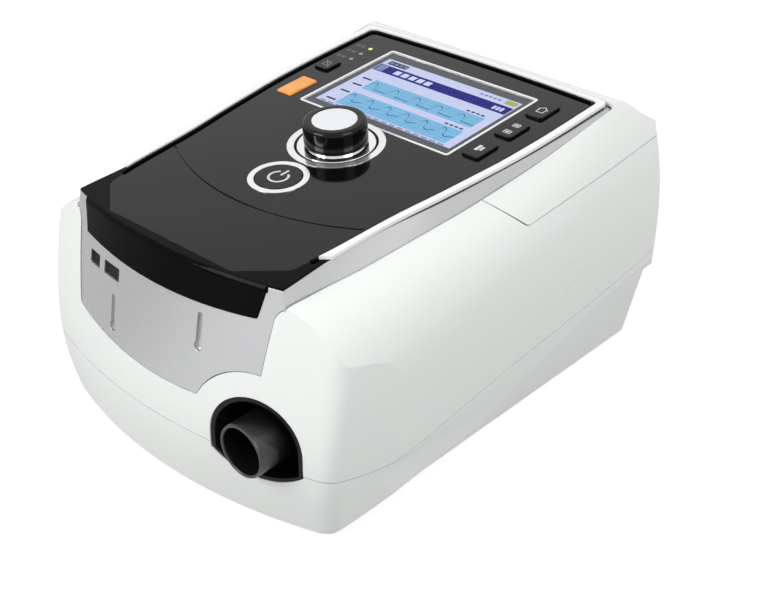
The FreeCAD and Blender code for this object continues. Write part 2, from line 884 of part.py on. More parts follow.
def plate_face(grow, top):
    """Front view of the docking plate: plain sides, a bowed foot and an arch round the outlet."""
    y = -140
    right = D.plate_foot_half + grow
    side, corner = D.plate_side_half + grow, D.plate_corner_half + grow
    low_z, high_z = D.plate_corner_low, D.plate_corner_high
    turn_x, turn_z = side + 0.27 * (corner - side), low_z + 0.6 * (high_z - low_z)
    arch = D.arch_radius - grow
    foot_z = D.plate_mid_z - grow
    arch_left = D.arch_x - math.sqrt(arch ** 2 - (foot_z - D.arch_z) ** 2)
    arch_right = D.arch_z + math.sqrt(arch ** 2 - (right - D.arch_x) ** 2)
    turn = math.radians(120)
    arch_mid = (D.arch_x + arch * math.cos(turn), y, D.arch_z + arch * math.sin(turn))
    left_z = D.plate_left_z - grow
    edges = [
        line_edge((corner, y, top), (-corner, y, top)),
        line_edge((-corner, y, top), (-corner, y, high_z)),
        arc_edge((-corner, y, high_z), (-turn_x, y, turn_z), (-side, y, low_z)),
        line_edge((-side, y, low_z), (-right, y, left_z + 3)),
        arc_edge((-right, y, left_z + 3), (-right + 0.9, y, left_z + 0.9), (-right + 3, y, left_z)),
        arc_edge((-right + 3, y, left_z), (-right / 3, y, foot_z + 0.4), (arch_left, y, foot_z)),
        arc_edge((arch_left, y, foot_z), arch_mid, (right, y, arch_right)),
        line_edge((right, y, arch_right), (side, y, low_z)),
        arc_edge((side, y, low_z), (turn_x, y, turn_z), (corner, y, high_z)),
        line_edge((corner, y, high_z), (corner, y, top)),
    ]
    return Part.Face(Part.Wire(edges))


def plate_prism(grow, top):
    return plate_face(grow, top).extrude(Vector(0, 66, 0))


def cup_prism(grow, back):
    """The outlet recess in front view, an arch on a sagging sill, from the front to its back."""
    y = -140
    r = D.cup_radius + grow
    x, z, foot = D.arch_x, D.arch_z, D.cup_foot_z
    edges = [
        line_edge((x + r, y, foot), (x + r, y, z)),
        arc_edge((x + r, y, z), (x, y, z + r), (x - r, y, z)),
        line_edge((x - r, y, z), (x - r, y, foot)),
        arc_edge((x - r, y, foot), (x, y, foot - D.cup_sag - grow), (x + r, y, foot)),
    ]
    return Part.Face(Part.Wire(edges)).extrude(Vector(0, 140 - back, 0))


def lip_prism(grow):
    """Front view of the lip that hangs over the front edge of the panel."""
    y, top = -140, 112
    low, rise = D.lip_low_z - grow, D.lip_rise
    half, top_half = D.lip_half + grow, D.lip_top_half + grow
    edges = [
        arc_edge((-half, y, low + rise), (0, y, low), (half, y, low + rise)),
        line_edge((half, y, low + rise), (top_half, y, 100)),
        line_edge((top_half, y, 100), (top_half, y, top)),
        line_edge((top_half, y, top), (-top_half, y, top)),
        line_edge((-top_half, y, top), (-top_half, y, 100)),
        line_edge((-top_half, y, 100), (-half, y, low + rise)),
    ]
    return Part.Face(Part.Wire(edges)).extrude(Vector(0, 66, 0))


# ---------------------------------------------------------------------------------------------------
# Casing pieces
# ---------------------------------------------------------------------------------------------------
def handle_region(grow):
    """Side view of the handle piece: above the seam and behind its sloping front."""
    y0, y1 = D.handle_front - grow, D.handle_low_front - grow
    z1 = D.handle_seam_z + D.handle_seam_rise * y1 - grow
    end = D.rear_reach + 30
    z2 = D.handle_seam_z + D.handle_seam_rise * end - grow
    lean = (D.handle_front_z - z1) / (D.handle_low_front - D.handle_front)
    top = 150
    y_top = y0 - (top - D.handle_front_z) / lean
    corners = [(y_top, top, 0), (y1, z1, D.handle_round), (end, z2, 0), (end, top, 0)]
    return rounded(corners, "yz", -120).extrude(Vector(240, 0, 0))


def finger_pocket(grow):
    """Finger pocket under the handle bar, open to the rear."""
    seam = D.handle_seam_z + D.handle_seam_rise * D.rear_reach
    low, high = D.pocket_low - grow, seam + grow
    corners = rectangle(0, (low + high) / 2, 2 * (D.pocket_half + grow), high - low, 4.0 + grow)
    depth = D.rear_reach + 20 - D.pocket_front + grow
    return rounded(corners, "xz", D.pocket_front - grow).extrude(Vector(0, depth, 0))


def filter_window(grow):
    """Opening for the filter cover in the rear wall."""
    cx = D.filter_left + D.filter_width / 2
    cz = D.filter_low + D.filter_height / 2
    corners = rectangle(cx, cz, D.filter_width + 2 * grow, D.filter_height + 2 * grow, 2.0 + grow)
    return rounded(corners, "xz", D.rear_reach - 12).extrude(Vector(0, 30, 0))


def columns():
    """Positions of the casing screws, with the level at which column and boss meet."""
    for y, top in ((D.column_front, D.column_front_z), (D.column_rear, D.column_rear_z)):
        for x in (-D.column_x, D.column_x):
            yield x, y, top


def base_columns():
    parts = []
    for x, y, top in columns():
        parts.append(disc(D.column_radius, x, y, D.base_z + 0.5, top))
        reach = (x, side_half(top) * (1 if x > 0 else -1))
        parts.append(prism(min(reach), max(reach), y - 1, y + 1, D.base_z + 0.5, top - 4))
    return parts


def shell_bosses():
    parts = []
    for x, y, top in columns():
        parts.append(disc(D.column_radius, x, y, top, top + D.boss_height))
        reach = (x, 84.0 * (1 if x > 0 else -1))
        parts.append(prism(min(reach), max(reach), y - 1, y + 1, top + 8, top + D.boss_height))
    return parts


def screw_bores():
    """Head recess from below, clearance through the column and a pilot hole in the boss."""
    low = D.base_z + D.screw_sunk + D.screw_head_height
    parts = []
    for x, y, top in columns():
        parts.append(disc(D.screw_head + 2 * D.fit, x, y, -1, low))
        parts.append(disc(D.screw_radius + D.fit, x, y, low - 1, top))
        parts.append(disc(D.screw_radius + D.near, x, y, top, top + 13))
    return parts


def build_casing():
    skin = hull(0.0)
    hollow = hull(D.wall)
    room = hull(D.wall / 2)
    walls = skin.cut(hollow)
    over = above_joint(D.seam)

    base = walls.cut(above_joint(0.0))
    base = base.fuse([part.common(room) for part in base_columns()])
    base = base.cut([cup_prism(0.0, D.cup_back + 1)] + screw_bores() + base_openings())

    crown_cut = on_panel(panel_slab(CHASSIS_SIDE, D.seam, -125, -D.chassis_depth - D.seam, 60))
    crown_cut = crown_cut.cut(prism(-120, 120, -150, -D.corner_back, 0, D.corner_z))
    lining = finger_pocket(D.wall).common(skin)
    upper = walls.common(over).cut(crown_cut)
    upper = upper.fuse([lining.common(over)] + [part.common(room) for part in shell_bosses()])
    upper = upper.cut([finger_pocket(0.0), plate_prism(D.seam, 130), cup_prism(0.0, D.cup_back + 1),
                       filter_window(D.seam)] + screw_bores())
    handle = upper.common(handle_region(0.0))
    upper = upper.cut(handle_region(D.seam))
    feature("base_tray", base)
    feature("outer_shell", upper)
    feature("handle_cover", handle)
    return walls.common(filter_window(0.0))


# ---------------------------------------------------------------------------------------------------
# Carrier, bezel and trim of the panel
# ---------------------------------------------------------------------------------------------------
def under_panel(level):
    """Everything below a level of the panel's frame."""
    return on_panel(prism(-150, 150, -200, 200, level - 120, level))


def ledge_posts():
    """Pillars under the carrier's ledge that hold the main board."""
    return [(sign * x, y) for x, y in (LEDGE_POST_FRONT, LEDGE_POST_REAR) for sign in (-1, 1)]


def build_chassis():
    """Silver carrier: the slanted sides beside the frame, the ledge under the bezel, the docking plate."""
    low, ledge = -D.chassis_depth, -D.bezel_thick
    outer = panel_slab(CHASSIS_SIDE, 0.0, -125, low, -D.chassis_top)
    inner = panel_slab(CHASSIS_SIDE, -D.chassis_wall, -126, low - 1, ledge - D.chassis_wall)
    skin, lining = band_outside(0.0), band_outside(D.chassis_slant_wall)
    outer = outer.cut([skin, mirrored(skin)])
    inner = inner.cut([lining, mirrored(lining)])
    window = panel_slab(CHASSIS_SIDE, -D.ledge_width, -88, low - 1, 1)
    seat = panel_slab(TRIM_INNER, D.near, -126, ledge, 1)
    face = front_block(D.plate_inset)
    back = front_block(D.plate_inset + D.plate_wall)
    body = on_panel(outer.cut([inner, window, seat])).common(face)
    outline = plate_prism(0.0, 130)
    plate = outline.common(face).cut(back).common(under_panel(ledge))
    plate = plate.cut([on_panel(skin), on_panel(mirrored(skin))])
    corner = prism(-120, 120, -150, D.seam - D.corner_back, 0, D.corner_z + D.seam)
    body = body.cut([corner.cut(outline)]).fuse(plate)
    board_top = D.main_board_z + D.board_thick
    roof = under_panel(ledge - D.chassis_wall / 2)
    body = body.fuse([disc(D.post_radius, x, y, board_top, 120).common(roof) for x, y in ledge_posts()])
    body = body.cut([disc(D.post_screw + D.near, x, y, board_top - 1, board_top + 9)
                     for x, y in ledge_posts()])
    body = body.cut([lip_prism(0.25)])
    return body.cut(guide_slots() + dock_sockets(D.near))


def guide_slots():
    """Two upright slots in the plate, each ending in a round eye."""
    floor = front_block(D.plate_inset + D.slot_deep)
    tools = []
    for x, z in ((D.slot_left_x, D.slot_left_z), (D.slot_right_x, D.slot_right_z)):
        slot = rectangle(x, z + D.slot_length / 2, D.slot_width, D.slot_length, D.slot_width / 2 - 0.05)
        track = rounded(slot, "xz", -120).extrude(Vector(0, 30, 0))
        eye = Part.makeCylinder(D.slot_eye, 30, Vector(x, -120, z + D.slot_width / 2), Vector(0, 1, 0))
        tools.append(track.fuse(eye).cut(floor))
    return tools


def dock_sockets(grow):
    """Front view of the two dark sockets, small and large, right through the plate."""
    tools = []
    for x, width in ((D.socket_small_x, D.socket_small_width), (D.socket_large_x, D.socket_large_width)):
        corners = rectangle(x + width / 2, D.socket_z + D.socket_height / 2, width + 2 * grow,
                            D.socket_height + 2 * grow, 0.6)
        tools.append(rounded(corners, "xz", -120).extrude(Vector(0, 30, 0)))
    return tools


def build_docks():
    face = front_block(D.plate_inset + D.socket_sunk)
    back = front_block(D.plate_inset + D.plate_wall + 1.5)
    for label, tool in zip(("dock_window_small", "dock_window_large"), dock_sockets(0.0)):
        feature(label, tool.common(face).cut(back))


def bezel_posts():
    return ((-32.0, -50.0), (32.0, -50.0), (-47.5, 4.0), (47.5, 4.0), (-30.0, 74.2), (30.0, 74.2))


def ahead_of_tips(low, high):
    """Everything in front of the slanted ends of the white frame, in the panel's own frame."""
    half = D.trim_tip_half
    level = -D.trim_front - 2 * D.near
    slant = level + D.trim_tip_slant * (70 - half)
    corners = [(-70, -130), (70, -130), (70, slant), (half, level), (-half, level), (-70, slant)]
    return slab([(x, y, 0) for x, y in corners], low, high)


def build_bezel():
    """Black panel tray with a rim inside the trim and a rolled lip over the front edge."""
    low = -D.bezel_thick
    plate = panel_slab(TRIM_INNER, -D.near, -D.trim_front, low, -D.overlay_thick)
    rim = panel_slab(TRIM_INNER, -D.near, -D.trim_front, -D.overlay_thick, D.rim_height)
    rim = rim.cut(panel_slab(TRIM_INNER, -D.rim_width, -D.trim_front - 1, -D.overlay_thick - 1,
                             D.rim_height + 1))
    brim = panel_slab(CHASSIS_EDGE, 0.0, -126, D.near - D.chassis_top, 0).common(ahead_of_tips(low, 1))
    foot = panel_slab(TRIM_INNER, -D.near, -126, low, -D.overlay_thick)
    foot = foot.common(prism(-70, 70, -130, 2 - D.trim_front, low, 0))
    nose = on_panel(brim.fuse([foot])).common(front_block(D.plate_inset))
    drop = lip_prism(0.0).common(front_block(-D.bezel_proud)).common(under_panel(0.0))
    drop = drop.cut(prism(-150, 150, -60, 150, -10, 150))
    edges = [edge for edge in drop.Edges if edge.BoundBox.XLength > 60 and edge.BoundBox.ZMin > 99
             and edge.BoundBox.YMax < -90]
    drop = drop.makeFillet(D.lip_roll, edges)
    behind = front_block(D.lip_wall - D.bezel_proud).common(under_panel(low))
    drop = drop.cut(behind)
    body = on_panel(plate.fuse([rim])).fuse([nose, drop])
    recess = overlay_outline(D.near, -D.overlay_thick, 1)
    body = body.cut(on_panel(recess))
    posts = [disc(2.5, x, y, -D.board_top, low + 0.5) for x, y in bezel_posts()]
    body = body.fuse([on_panel(post) for post in posts])
    pilots = [disc(1.0, x, y, -D.board_top - 1, low - 1.5) for x, y in bezel_posts()]
    return body.cut([on_panel(tool) for tool in pilots + control_holes()])


def overlay_outline(grow, low, high):
    """Grey overlay: the panel inside the rim, with a straight front and chamfered corners."""
    grown = panel_slab(TRIM_INNER, -D.rim_width - 0.1 + grow, -D.overlay_front - grow, low, high)
    x, y = D.overlay_chamfer_x + grow, -D.overlay_chamfer_y - grow
    front = -D.overlay_front - grow
    side = 49.6 + grow
    for sign in (-1, 1):
        corner = [(sign * x, front, 0), (sign * side, y, 0), (sign * (side + 9), y + 14, 0),
                  (sign * 90, y + 14, 0), (sign * 90, front - 30, 0), (sign * x, front - 30, 0)]
        if sign < 0:
            corner = corner[::-1]
        grown = grown.cut(slab(corner, low - 1, high + 1))
    return grown


def control_holes():
    """Openings through the tray for the screen, the dial, the buttons and the lamps."""
    low, high = -D.bezel_thick - 1, 1
    gap = D.button_gap
    x = D.control_x
    holes = [slab(rectangle(x, D.screen_y, D.active_width + 0.8, D.active_depth + 0.8, 1.0), low, high),
             disc(D.shaft_radius + 2 * D.fit, D.dial_x, D.dial_y, low, high),
             disc(D.power_inner, x, D.power_y, low, high)]
    for y in key_rows():
        holes.append(slab(rectangle(key_x(D), y, D.key_width + 2 * gap, D.key_depth + 2 * gap, 1.8),
                          low, high))
    holes.append(slab(rectangle(D.mute_x, D.mute_y, D.mute_width + 2 * gap, D.mute_depth + 2 * gap, 1.8),
                      low, high))
    holes.append(slab(rectangle(alarm_x(D), D.alarm_y, D.alarm_width + 2 * D.near,
                                D.alarm_depth + 2 * D.near,
                                1.0), low, high))
    for y in led_rows():
        holes.append(disc(D.led_radius + D.near, D.led_x, y, low, high))
    return holes


def key_rows():
    return [D.key_y + D.key_pitch * step for step in (-1, 0, 1)]


def led_rows():
    return [D.led_y + D.led_pitch * step for step in (-1, 0, 1)]


def build_overlay():
    body = overlay_outline(0.0, -D.overlay_thick, 0.0)
    x = D.control_x
    holes = [slab(rectangle(x, D.screen_y, D.screen_width + 2 * D.near, D.screen_depth + 2 * D.near,
                            D.screen_round), -2, 1),
             disc(D.dial_ring_outer + D.near, D.dial_x, D.dial_y, -2, 1),
             disc(D.power_outer + D.near, x, D.power_y, -2, 1)]
    centre = Vector(0, -D.groove_y + D.groove_radius, -D.groove_depth)
    groove = Part.makeCylinder(D.groove_radius + D.groove_width / 2, 2, centre)
    groove = groove.cut(Part.makeCylinder(D.groove_radius - D.groove_width / 2, 2, centre))
    groove = groove.common(prism(-52.6, 52.6, -70, -40, -1, 1))
    return body.cut(holes + control_holes() + [groove])


def build_trim():
    """White frame beside the panel: a thin brim on a narrower foot, its front ends cut on a slant."""
    foot, under = -D.chassis_top, D.trim_under
    inner = panel_slab(TRIM_INNER, 0.0, -90, foot - 1, D.trim_height + 1)
    brim = panel_slab(TRIM_OUTER, 0.0, -D.trim_front, under, D.trim_height)
    base = panel_slab(CHASSIS_EDGE, -D.trim_foot_inset, -D.trim_front, foot, under)
    half, level = D.trim_tip_half, -D.trim_front
    slant = level + D.trim_tip_slant * (70 - half)
    body = brim.fuse([base]).cut(inner)
    for sign in (-1, 1):
        tip = [(sign * 40, -90, 0), (sign * 70, -90, 0), (sign * 70, slant, 0), (sign * half, level, 0)]
        body = body.cut(slab(tip if sign > 0 else tip[::-1], foot - 1, D.trim_height + 1))
    return body


# ---------------------------------------------------------------------------------------------------
# Screen and controls
# ---------------------------------------------------------------------------------------------------
def build_screen():
    x, y = S.control_x, S.screen_y
    line = 2 * S.screen_line
    low = -S.overlay_thick
    rim = padded("screen_rim", draw_rounded, low, S.line_proud, x, y, S.screen_width, S.screen_depth,
                 S.screen_round)
    add_cut(rim, draw_rounded, low, S.line_proud, x, y, S.screen_width - line, S.screen_depth - line,
            S.screen_round / 2)
    add_cut(rim, draw_circle, low, S.line_proud, S.dial_ring_outer + S.near, S.dial_x, S.dial_y)
    lens = padded("screen_lens", draw_rounded, low, -S.near, x, y, S.screen_width - line - 2 * S.near,
                  S.screen_depth - line - 2 * S.near, S.screen_round / 2)
    lcd = padded("lcd_module", draw_rounded, -S.lcd_low, -S.bezel_thick - S.near, x, y, S.lcd_width,
                 S.lcd_depth,
                 S.screen_round)
    add_pad(lcd, draw_rounded, -S.bezel_thick - S.near, low - S.near, x, y, S.active_width, S.active_depth,
            S.screen_round / 2)
    for body in (rim, lens, lcd):
        lay_on_panel(body)


def ring_body(label, outer, inner, low, high, x, y):
    body = padded(label, draw_circle, low, high, outer, x, y)
    add_cut(body, draw_circle, low, high, inner, x, y)
    return lay_on_panel(body)


def build_dial():
    """Push-turn dial: ring, chrome flange, knob with its cap, and the encoder underneath."""
    x, y = S.dial_x, S.dial_y
    low = -S.overlay_thick
    ring_body("dial_ring", S.dial_ring_outer, S.dial_ring_inner, low, 2 * S.line_proud, x, y)
    flange_in = S.shaft_radius + S.fit
    edge, deck, collar = S.dial_flange_radius, S.dial_flange_top, S.dial_collar_radius
    flange = revolve("dial_flange", [(flange_in, low), (edge, low), (edge, deck - 0.2), (edge - 0.2, deck),
                                     (collar, deck), (collar, S.dial_collar_top),
                                     (flange_in, S.dial_collar_top)])
    base = deck + S.dial_gap
    roof = S.dial_collar_top + S.dial_gap
    top, r, c = S.dial_top, S.dial_radius, S.dial_round
    pin, bore, crown = S.shaft_radius, S.shaft_radius + S.near, S.shaft_top + S.near
    cap_r = S.dial_cap_radius
    knob = revolve("dial_knob", [(collar + S.button_gap, base), (r - 0.3, base), (r, base + 0.3),
                                 (r, top - c),
                                 (r - 0.08 * c, top - 0.62 * c), (r - 0.29 * c, top - 0.29 * c),
                                 (r - 0.62 * c, top - 0.08 * c), (r - c, top), (cap_r + S.near + 0.3, top),
                                 (cap_r + S.near, top - 0.3), (cap_r + S.near, top - S.dial_cap_sunk),
                                 (0, top - S.dial_cap_sunk), (0, crown), (bore, crown), (bore, roof),
                                 (collar + S.button_gap, roof)])
    cap = revolve("dial_cap", [(0, top - S.dial_cap_sunk), (cap_r, top - S.dial_cap_sunk),
                               (cap_r, top - 0.1), (cap_r - 0.4, top + 0.1), (0, top + 0.3)])
    shaft = revolve("encoder_shaft", [(0, -S.shaft_low), (pin, -S.shaft_low), (pin, S.shaft_top),
                                      (0, S.shaft_top)])
    for body in (flange, knob, cap, shaft):
        seat_on_panel(body, x, y)
    encoder = padded("encoder_body", draw_rounded, -S.board_top, -S.bezel_thick - S.near, 0, 0,
                     S.encoder_width,
                     S.encoder_width, 0.8)
    add_cut(encoder, draw_circle, -S.shaft_low - 1.2, 0, S.shaft_radius + S.near)
    seat_on_panel(encoder, x, y)


def seat_on_panel(obj, x, y):
    """Place a piece drawn about its own centre at a spot of the panel."""
    tilt = math.radians(D.panel_tilt)
    obj.Placement = Placement(Vector(x.value, y.value * math.cos(tilt),
                                     D.panel_z + y.value * math.sin(tilt)),
                              Rotation(Vector(1, 0, 0), D.panel_tilt))
    obj.setExpression("Placement.Base.x", x.text)
    obj.setExpression("Placement.Base.y", f"{y.text} * cos(Dims.panel_tilt * 1deg)")
    obj.setExpression("Placement.Base.z", f"Dims.panel_z + {y.text} * sin(Dims.panel_tilt * 1deg)")
    return obj


def build_power():
    x, y = S.control_x, S.power_y
    gap = S.button_gap
    low = -S.overlay_thick
    ring_body("power_ring", S.power_outer, S.power_inner, low, 2 * S.line_proud, x, y)
    r = S.power_inner - gap
    collar = -S.bezel_thick - S.collar_gap
    wide = S.power_inner + 1
    button = revolve("power_button", [(0, -S.stem_low), (S.stem_radius, -S.stem_low),
                                      (S.stem_radius, collar - S.button_collar),
                                      (wide, collar - S.button_collar),
                                      (wide, collar), (r, collar), (r, S.button_proud - 0.3),
                                      (r - 0.3, S.button_proud), (0, S.button_proud)])
    seat_on_panel(button, x, y)


def key(label, x, y, width, depth):
    """Key cap with a collar under the tray and a stem over its dome."""
    collar = -S.bezel_thick - S.collar_gap
    body = padded(label, draw_rounded, collar - S.button_collar, collar, 0, 0, width + 2, depth + 2,
                  S.key_round)
    add_pad(body, draw_rounded, collar, S.key_proud - 0.2, 0, 0, width, depth, S.key_round)
    add_pad(body, draw_rounded, S.key_proud - 0.2, S.key_proud, 0, 0, width - 0.4, depth - 0.4,
            S.key_round - 0.2)
    add_pad(body, draw_circle, -S.stem_low, collar - S.button_collar, S.stem_radius)
    seat_on_panel(body, x, y)


def build_keys():
    rows = (S.key_y - S.key_pitch, S.key_y, S.key_y + S.key_pitch)
    for label, y in zip(("key_lower", "key_middle", "key_upper"), rows):
        key(label, key_x(S), y, S.key_width, S.key_depth)
    key("mute_key", S.mute_x, S.mute_y, S.mute_width, S.mute_depth)
    low = -S.bezel_thick
    x, y, width, depth = alarm_x(S), S.alarm_y, S.alarm_width, S.alarm_depth
    alarm = padded("alarm_light", draw_rounded, low, S.alarm_proud - 0.4, x, y, width, depth, 1.0)
    add_pad(alarm, draw_rounded, S.alarm_proud - 0.4, S.alarm_proud, x, y, width - 0.8, depth - 0.8, 0.8)
    lay_on_panel(alarm)
    lamps = [rod(S.led_radius, low, S.line_proud, S.led_x, S.led_y + S.led_pitch * step)
             for step in (-1, 0, 1)]
    lay_on_panel(register("status_leds", group(*lamps)))
    domes = []
    spots = [(S.control_x, S.power_y), (S.mute_x, S.mute_y)] + [(key_x(S), y) for y in rows]
    for x, y in spots:
        domes.append(rod(S.dome_radius, -S.board_top, S.dome_height - S.board_top, x, y))
    lay_on_panel(register("key_domes", group(*domes)))


def build_display_board():
    """Board under the controls, wider towards the rear, screwed to the posts of the tray."""
    half = D.board_half
    corners = [(-50, -56, 2), (50, -56, 2), (half, 22, 2), (half, 81, 2), (-half, 81, 2), (-half, 22, 2)]
    low, high = -D.board_top - D.board_thick, -D.board_top
    body = slab(corners, low, high)
    holes = [disc(1.2, x, y, low - 1, high + 1) for x, y in bezel_posts()]
    body = body.cut(holes)
    chips = [prism(-18, -4, 20, 34, low - 1.8, low), prism(10, 19, 44, 53, low - 1.4, low),
             prism(-40, -20, 60, 67, low - 4.0, low), prism(-30, -22, -30, -22, low - 1.2, low)]
    return body.fuse(chips)


# ---------------------------------------------------------------------------------------------------
# Air outlet
# ---------------------------------------------------------------------------------------------------
def build_outlet():
    """Dark recess, hose spigot lying along the machine, and the gasket behind the recess wall."""
    back = D.cup_back
    outer = cup_prism(-D.fit, back).common(front_block(0.4))
    inner = cup_prism(-D.fit - D.cup_wall, back + D.cup_wall)
    start = Vector(D.spigot_x, -130, D.spigot_z)
    hole = Part.makeCylinder(D.spigot_shoulder + D.near, 60, start, Vector(0, 1, 0))
    feature("outlet_cup", outer.cut([inner, hole]))

    r, bore, shoulder = S.spigot_radius, S.spigot_bore, S.spigot_shoulder
    back_y, face_y = S.cup_back - S.gasket_thick, S.cup_back + S.cup_wall
    mouth = S.spigot_reach
    spigot = revolve("outlet_spigot", [(bore, S.spigot_inner_end), (S.duct_radius, S.spigot_inner_end),
                                       (S.duct_radius, back_y - S.flange_thick),
                                       (S.flange_radius, back_y - S.flange_thick), (S.flange_radius, back_y),
                                       (shoulder, back_y), (shoulder, face_y), (r, face_y),
                                       (r, mouth - S.spigot_lead), (r - 0.3, mouth),
                                       (bore + 0.4, mouth), (bore, mouth - 0.4)])
    seal = shoulder + S.fit
    gasket = revolve("outlet_gasket", [(seal, back_y), (S.flange_radius, back_y),
                                       (S.flange_radius, S.cup_back), (seal, S.cup_back)])
    for body in (spigot, gasket):
        body.Placement = Placement(Vector(D.spigot_x, 0, D.spigot_z), Rotation(Vector(1, 0, 0), 90))
        put(body, S.spigot_x, 0, S.spigot_z)


# ---------------------------------------------------------------------------------------------------
# Rear fittings in the base
# ---------------------------------------------------------------------------------------------------
def base_openings():
    """Cut-outs in the rear face of the base."""
    y = rear_wall(D) - 8
    cuts = []
    for x, z, width, height in ((D.inlet_x, D.ports_z, D.inlet_width, D.inlet_height),
                                (D.switch_x, D.ports_z, D.switch_width, D.switch_height)):
        cuts.append(prism(x - width / 2 - D.near, x + width / 2 + D.near, y, y + 30, z - height / 2 - D.near,
                          z + height / 2 + D.near))
    for x, z, width, height in port_list():
        cuts.append(prism(x - width / 2 - D.near, x + width / 2 + D.near, y, y + 30, z - height / 2 - D.near,
                          z + height / 2 + D.near))
    cuts.append(Part.makeCylinder(D.oxygen_radius + D.near, 30, Vector(D.oxygen_x, y, D.ports_z),
                                  Vector(0, 1, 0)))
    for x, y in foot_spots():
        cuts.append(disc(D.foot_peg + D.near, x, y, -1, D.base_z + D.wall + 1))
    return cuts


def port_list():
    """Data sockets: x, z, width and height of each block."""
    z = D.ports_z
    return ((D.port_x, z, 13.0, 6.0), (D.port_x + 17, z, 12.0, 11.0))


def foot_spots():
    return [(x, y) for y in (D.foot_front, D.foot_rear) for x in (-D.foot_x, D.foot_x)]


def build_rear():
    wall_y = rear_wall(S)
    x, z = S.inlet_x, S.ports_z
    w, h = S.inlet_width, S.inlet_height
    lip = 1.6
    flange = box(x - w / 2 - lip, x + w / 2 + lip, wall_y + S.near, wall_y + 1.4, z - h / 2 - lip,
                 z + h / 2 + lip)
    block = box(x - w / 2, x + w / 2, wall_y - 17, wall_y + S.near, z - h / 2, z + h / 2)
    well = box(x - w / 2 + 2.2, x + w / 2 - 2.2, wall_y - 14, wall_y + 3, z - h / 2 + 2, z + h / 2 - 2)
    shell = cut(fuse(flange, block), well)
    pins = [box(x + dx - 1, x + dx + 1, wall_y - 15, wall_y - 2.5, z + dz - 2, z + dz + 2)
            for dx, dz in ((-7.0, -1.5), (0.0, 1.8), (7.0, -1.5))]
    register("mains_inlet", fuse(shell, *pins))

    x, w, h = S.switch_x, S.switch_width, S.switch_height
    flange = box(x - w / 2 - 1, x + w / 2 + 1, wall_y + S.near, wall_y + 1.2, z - h / 2 - 1, z + h / 2 + 1)
    block = box(x - w / 2, x + w / 2, wall_y - 15, wall_y + S.near, z - h / 2, z + h / 2)
    well = box(x - w / 2 + 1.4, x + w / 2 - 1.4, wall_y - 9, wall_y + 3, z - h / 2 + 1.4, z + h / 2 - 1.4)
    reach = w / 2 - 1.4 + S.rocker_pin_reach + S.near
    socket = rod_x(S.rocker_pin + S.near, x - reach, x + reach, wall_y - S.rocker_sunk, z)
    register("switch_frame", cut(fuse(flange, block), well, socket))

    blocks = []
    for width, dx, height in ((13.0, 0, 6.0), (12.0, 17, 11.0)):
        px = S.port_x + dx
        body = box(px - width / 2, px + width / 2, wall_y - 14, wall_y + 0.4, z - height / 2, z + height / 2)
        well = box(px - width / 2 + 0.8, px + width / 2 - 0.8, wall_y - 10, wall_y + 3, z - height / 2 + 0.8,
                   z + height / 2 - 0.8)
        tongue = box(px - width / 2 + 3, px + width / 2 - 3, wall_y - 11, wall_y - 2, z - 0.6, z + 0.6)
        blocks.append(fuse(cut(body, well), tongue))
    register("data_ports", group(*blocks))

    r = S.oxygen_radius
    oxygen = revolve("oxygen_port", [(1.6, -14), (r, -14), (r, 0.05), (r + 1.5, 0.05), (r + 1.5, 1.6),
                                     (2.6, 1.6),
                                     (3.1, 3.2), (2.4, 5.0), (2.8, 6.4), (2.1, 8.4), (1.6, 8.4)])
    oxygen.Placement = Placement(Vector(D.oxygen_x, rear_wall(D), D.ports_z), Rotation(Vector(1, 0, 0), -90))
    put(oxygen, S.oxygen_x, wall_y, z)


def build_rocker():
    """Mains rocker: a bowed key that tips about a line across its frame. Drawn level, then tipped to off."""
    profile = [(-6.4, -1.6, 0.5), (-7.2, 2.9, 0.6), (0.0, 1.9, 0), (7.2, 2.9, 0.6), (6.4, -1.6, 0.5),
               (0.0, -3.0, 0)]
    width = D.switch_width - 2.8 - 2 * D.button_gap
    body = rounded([(y, z, r) for z, y, r in profile[::-1]], "yz", -width / 2).extrude(Vector(width, 0, 0))
    reach = width + 2 * (D.button_gap + D.rocker_pin_reach)
    pin = Part.makeCylinder(D.rocker_pin, reach, Vector(-reach / 2, 0, 0), Vector(1, 0, 0))
    body = body.fuse([pin])
    body.rotate(Vector(0, 0, 0), Vector(1, 0, 0), D.rocker_throw / 2)
    body.translate(Vector(D.switch_x, rear_wall(D) - D.rocker_sunk, D.ports_z))
    feature("rocker_switch", body)


def build_filter(cover):
    """Hinged filter cover with its slots, and the filter pad behind it."""
    margin = D.filter_slot_margin
    slots = []
    for i in range(8):
        x = D.filter_left + margin + i * (D.filter_width - 2 * margin) / 7
        corners = rectangle(x, D.filter_low + D.filter_height / 2, 2.2, D.filter_height - 7, 1.0)
        slots.append(rounded(corners, "xz", D.rear_reach - 14).extrude(Vector(0, 30, 0)))
    feature("filter_cover", cover.cut(slots))
    cx = D.filter_left + D.filter_width / 2
    cz = D.filter_low + D.filter_height / 2
    corners = rectangle(cx, cz, D.filter_width - 4, D.filter_height - 3.2, 1.5)
    far = intake_rear() + D.wall
    pad_body = rounded(corners, "xz", far - D.filter_depth).extrude(Vector(0, D.filter_depth, 0))
    feature("air_filter", pad_body)


def build_feet():
    feet = []
    for y in (S.foot_front, S.foot_rear):
        for x in (-S.foot_x, S.foot_x):
            feet.append(fuse(rod(S.foot_radius, 0, S.base_z, x, y),
                             rod(S.foot_peg, S.base_z, S.base_z + 2.2, x, y)))
    register("rubber_feet", group(*feet))
    screws = []
    low = S.base_z + S.screw_sunk
    for y, top in ((S.column_front, S.column_front_z), (S.column_rear, S.column_rear_z)):
        for x in (-S.column_x, S.column_x):
            head = rod(S.screw_head, low, low + S.screw_head_height, x, y)
            screws.append(fuse(head, rod(S.screw_radius, low + S.screw_head_height, top + 11, x, y)))
    register("housing_screws", group(*screws))


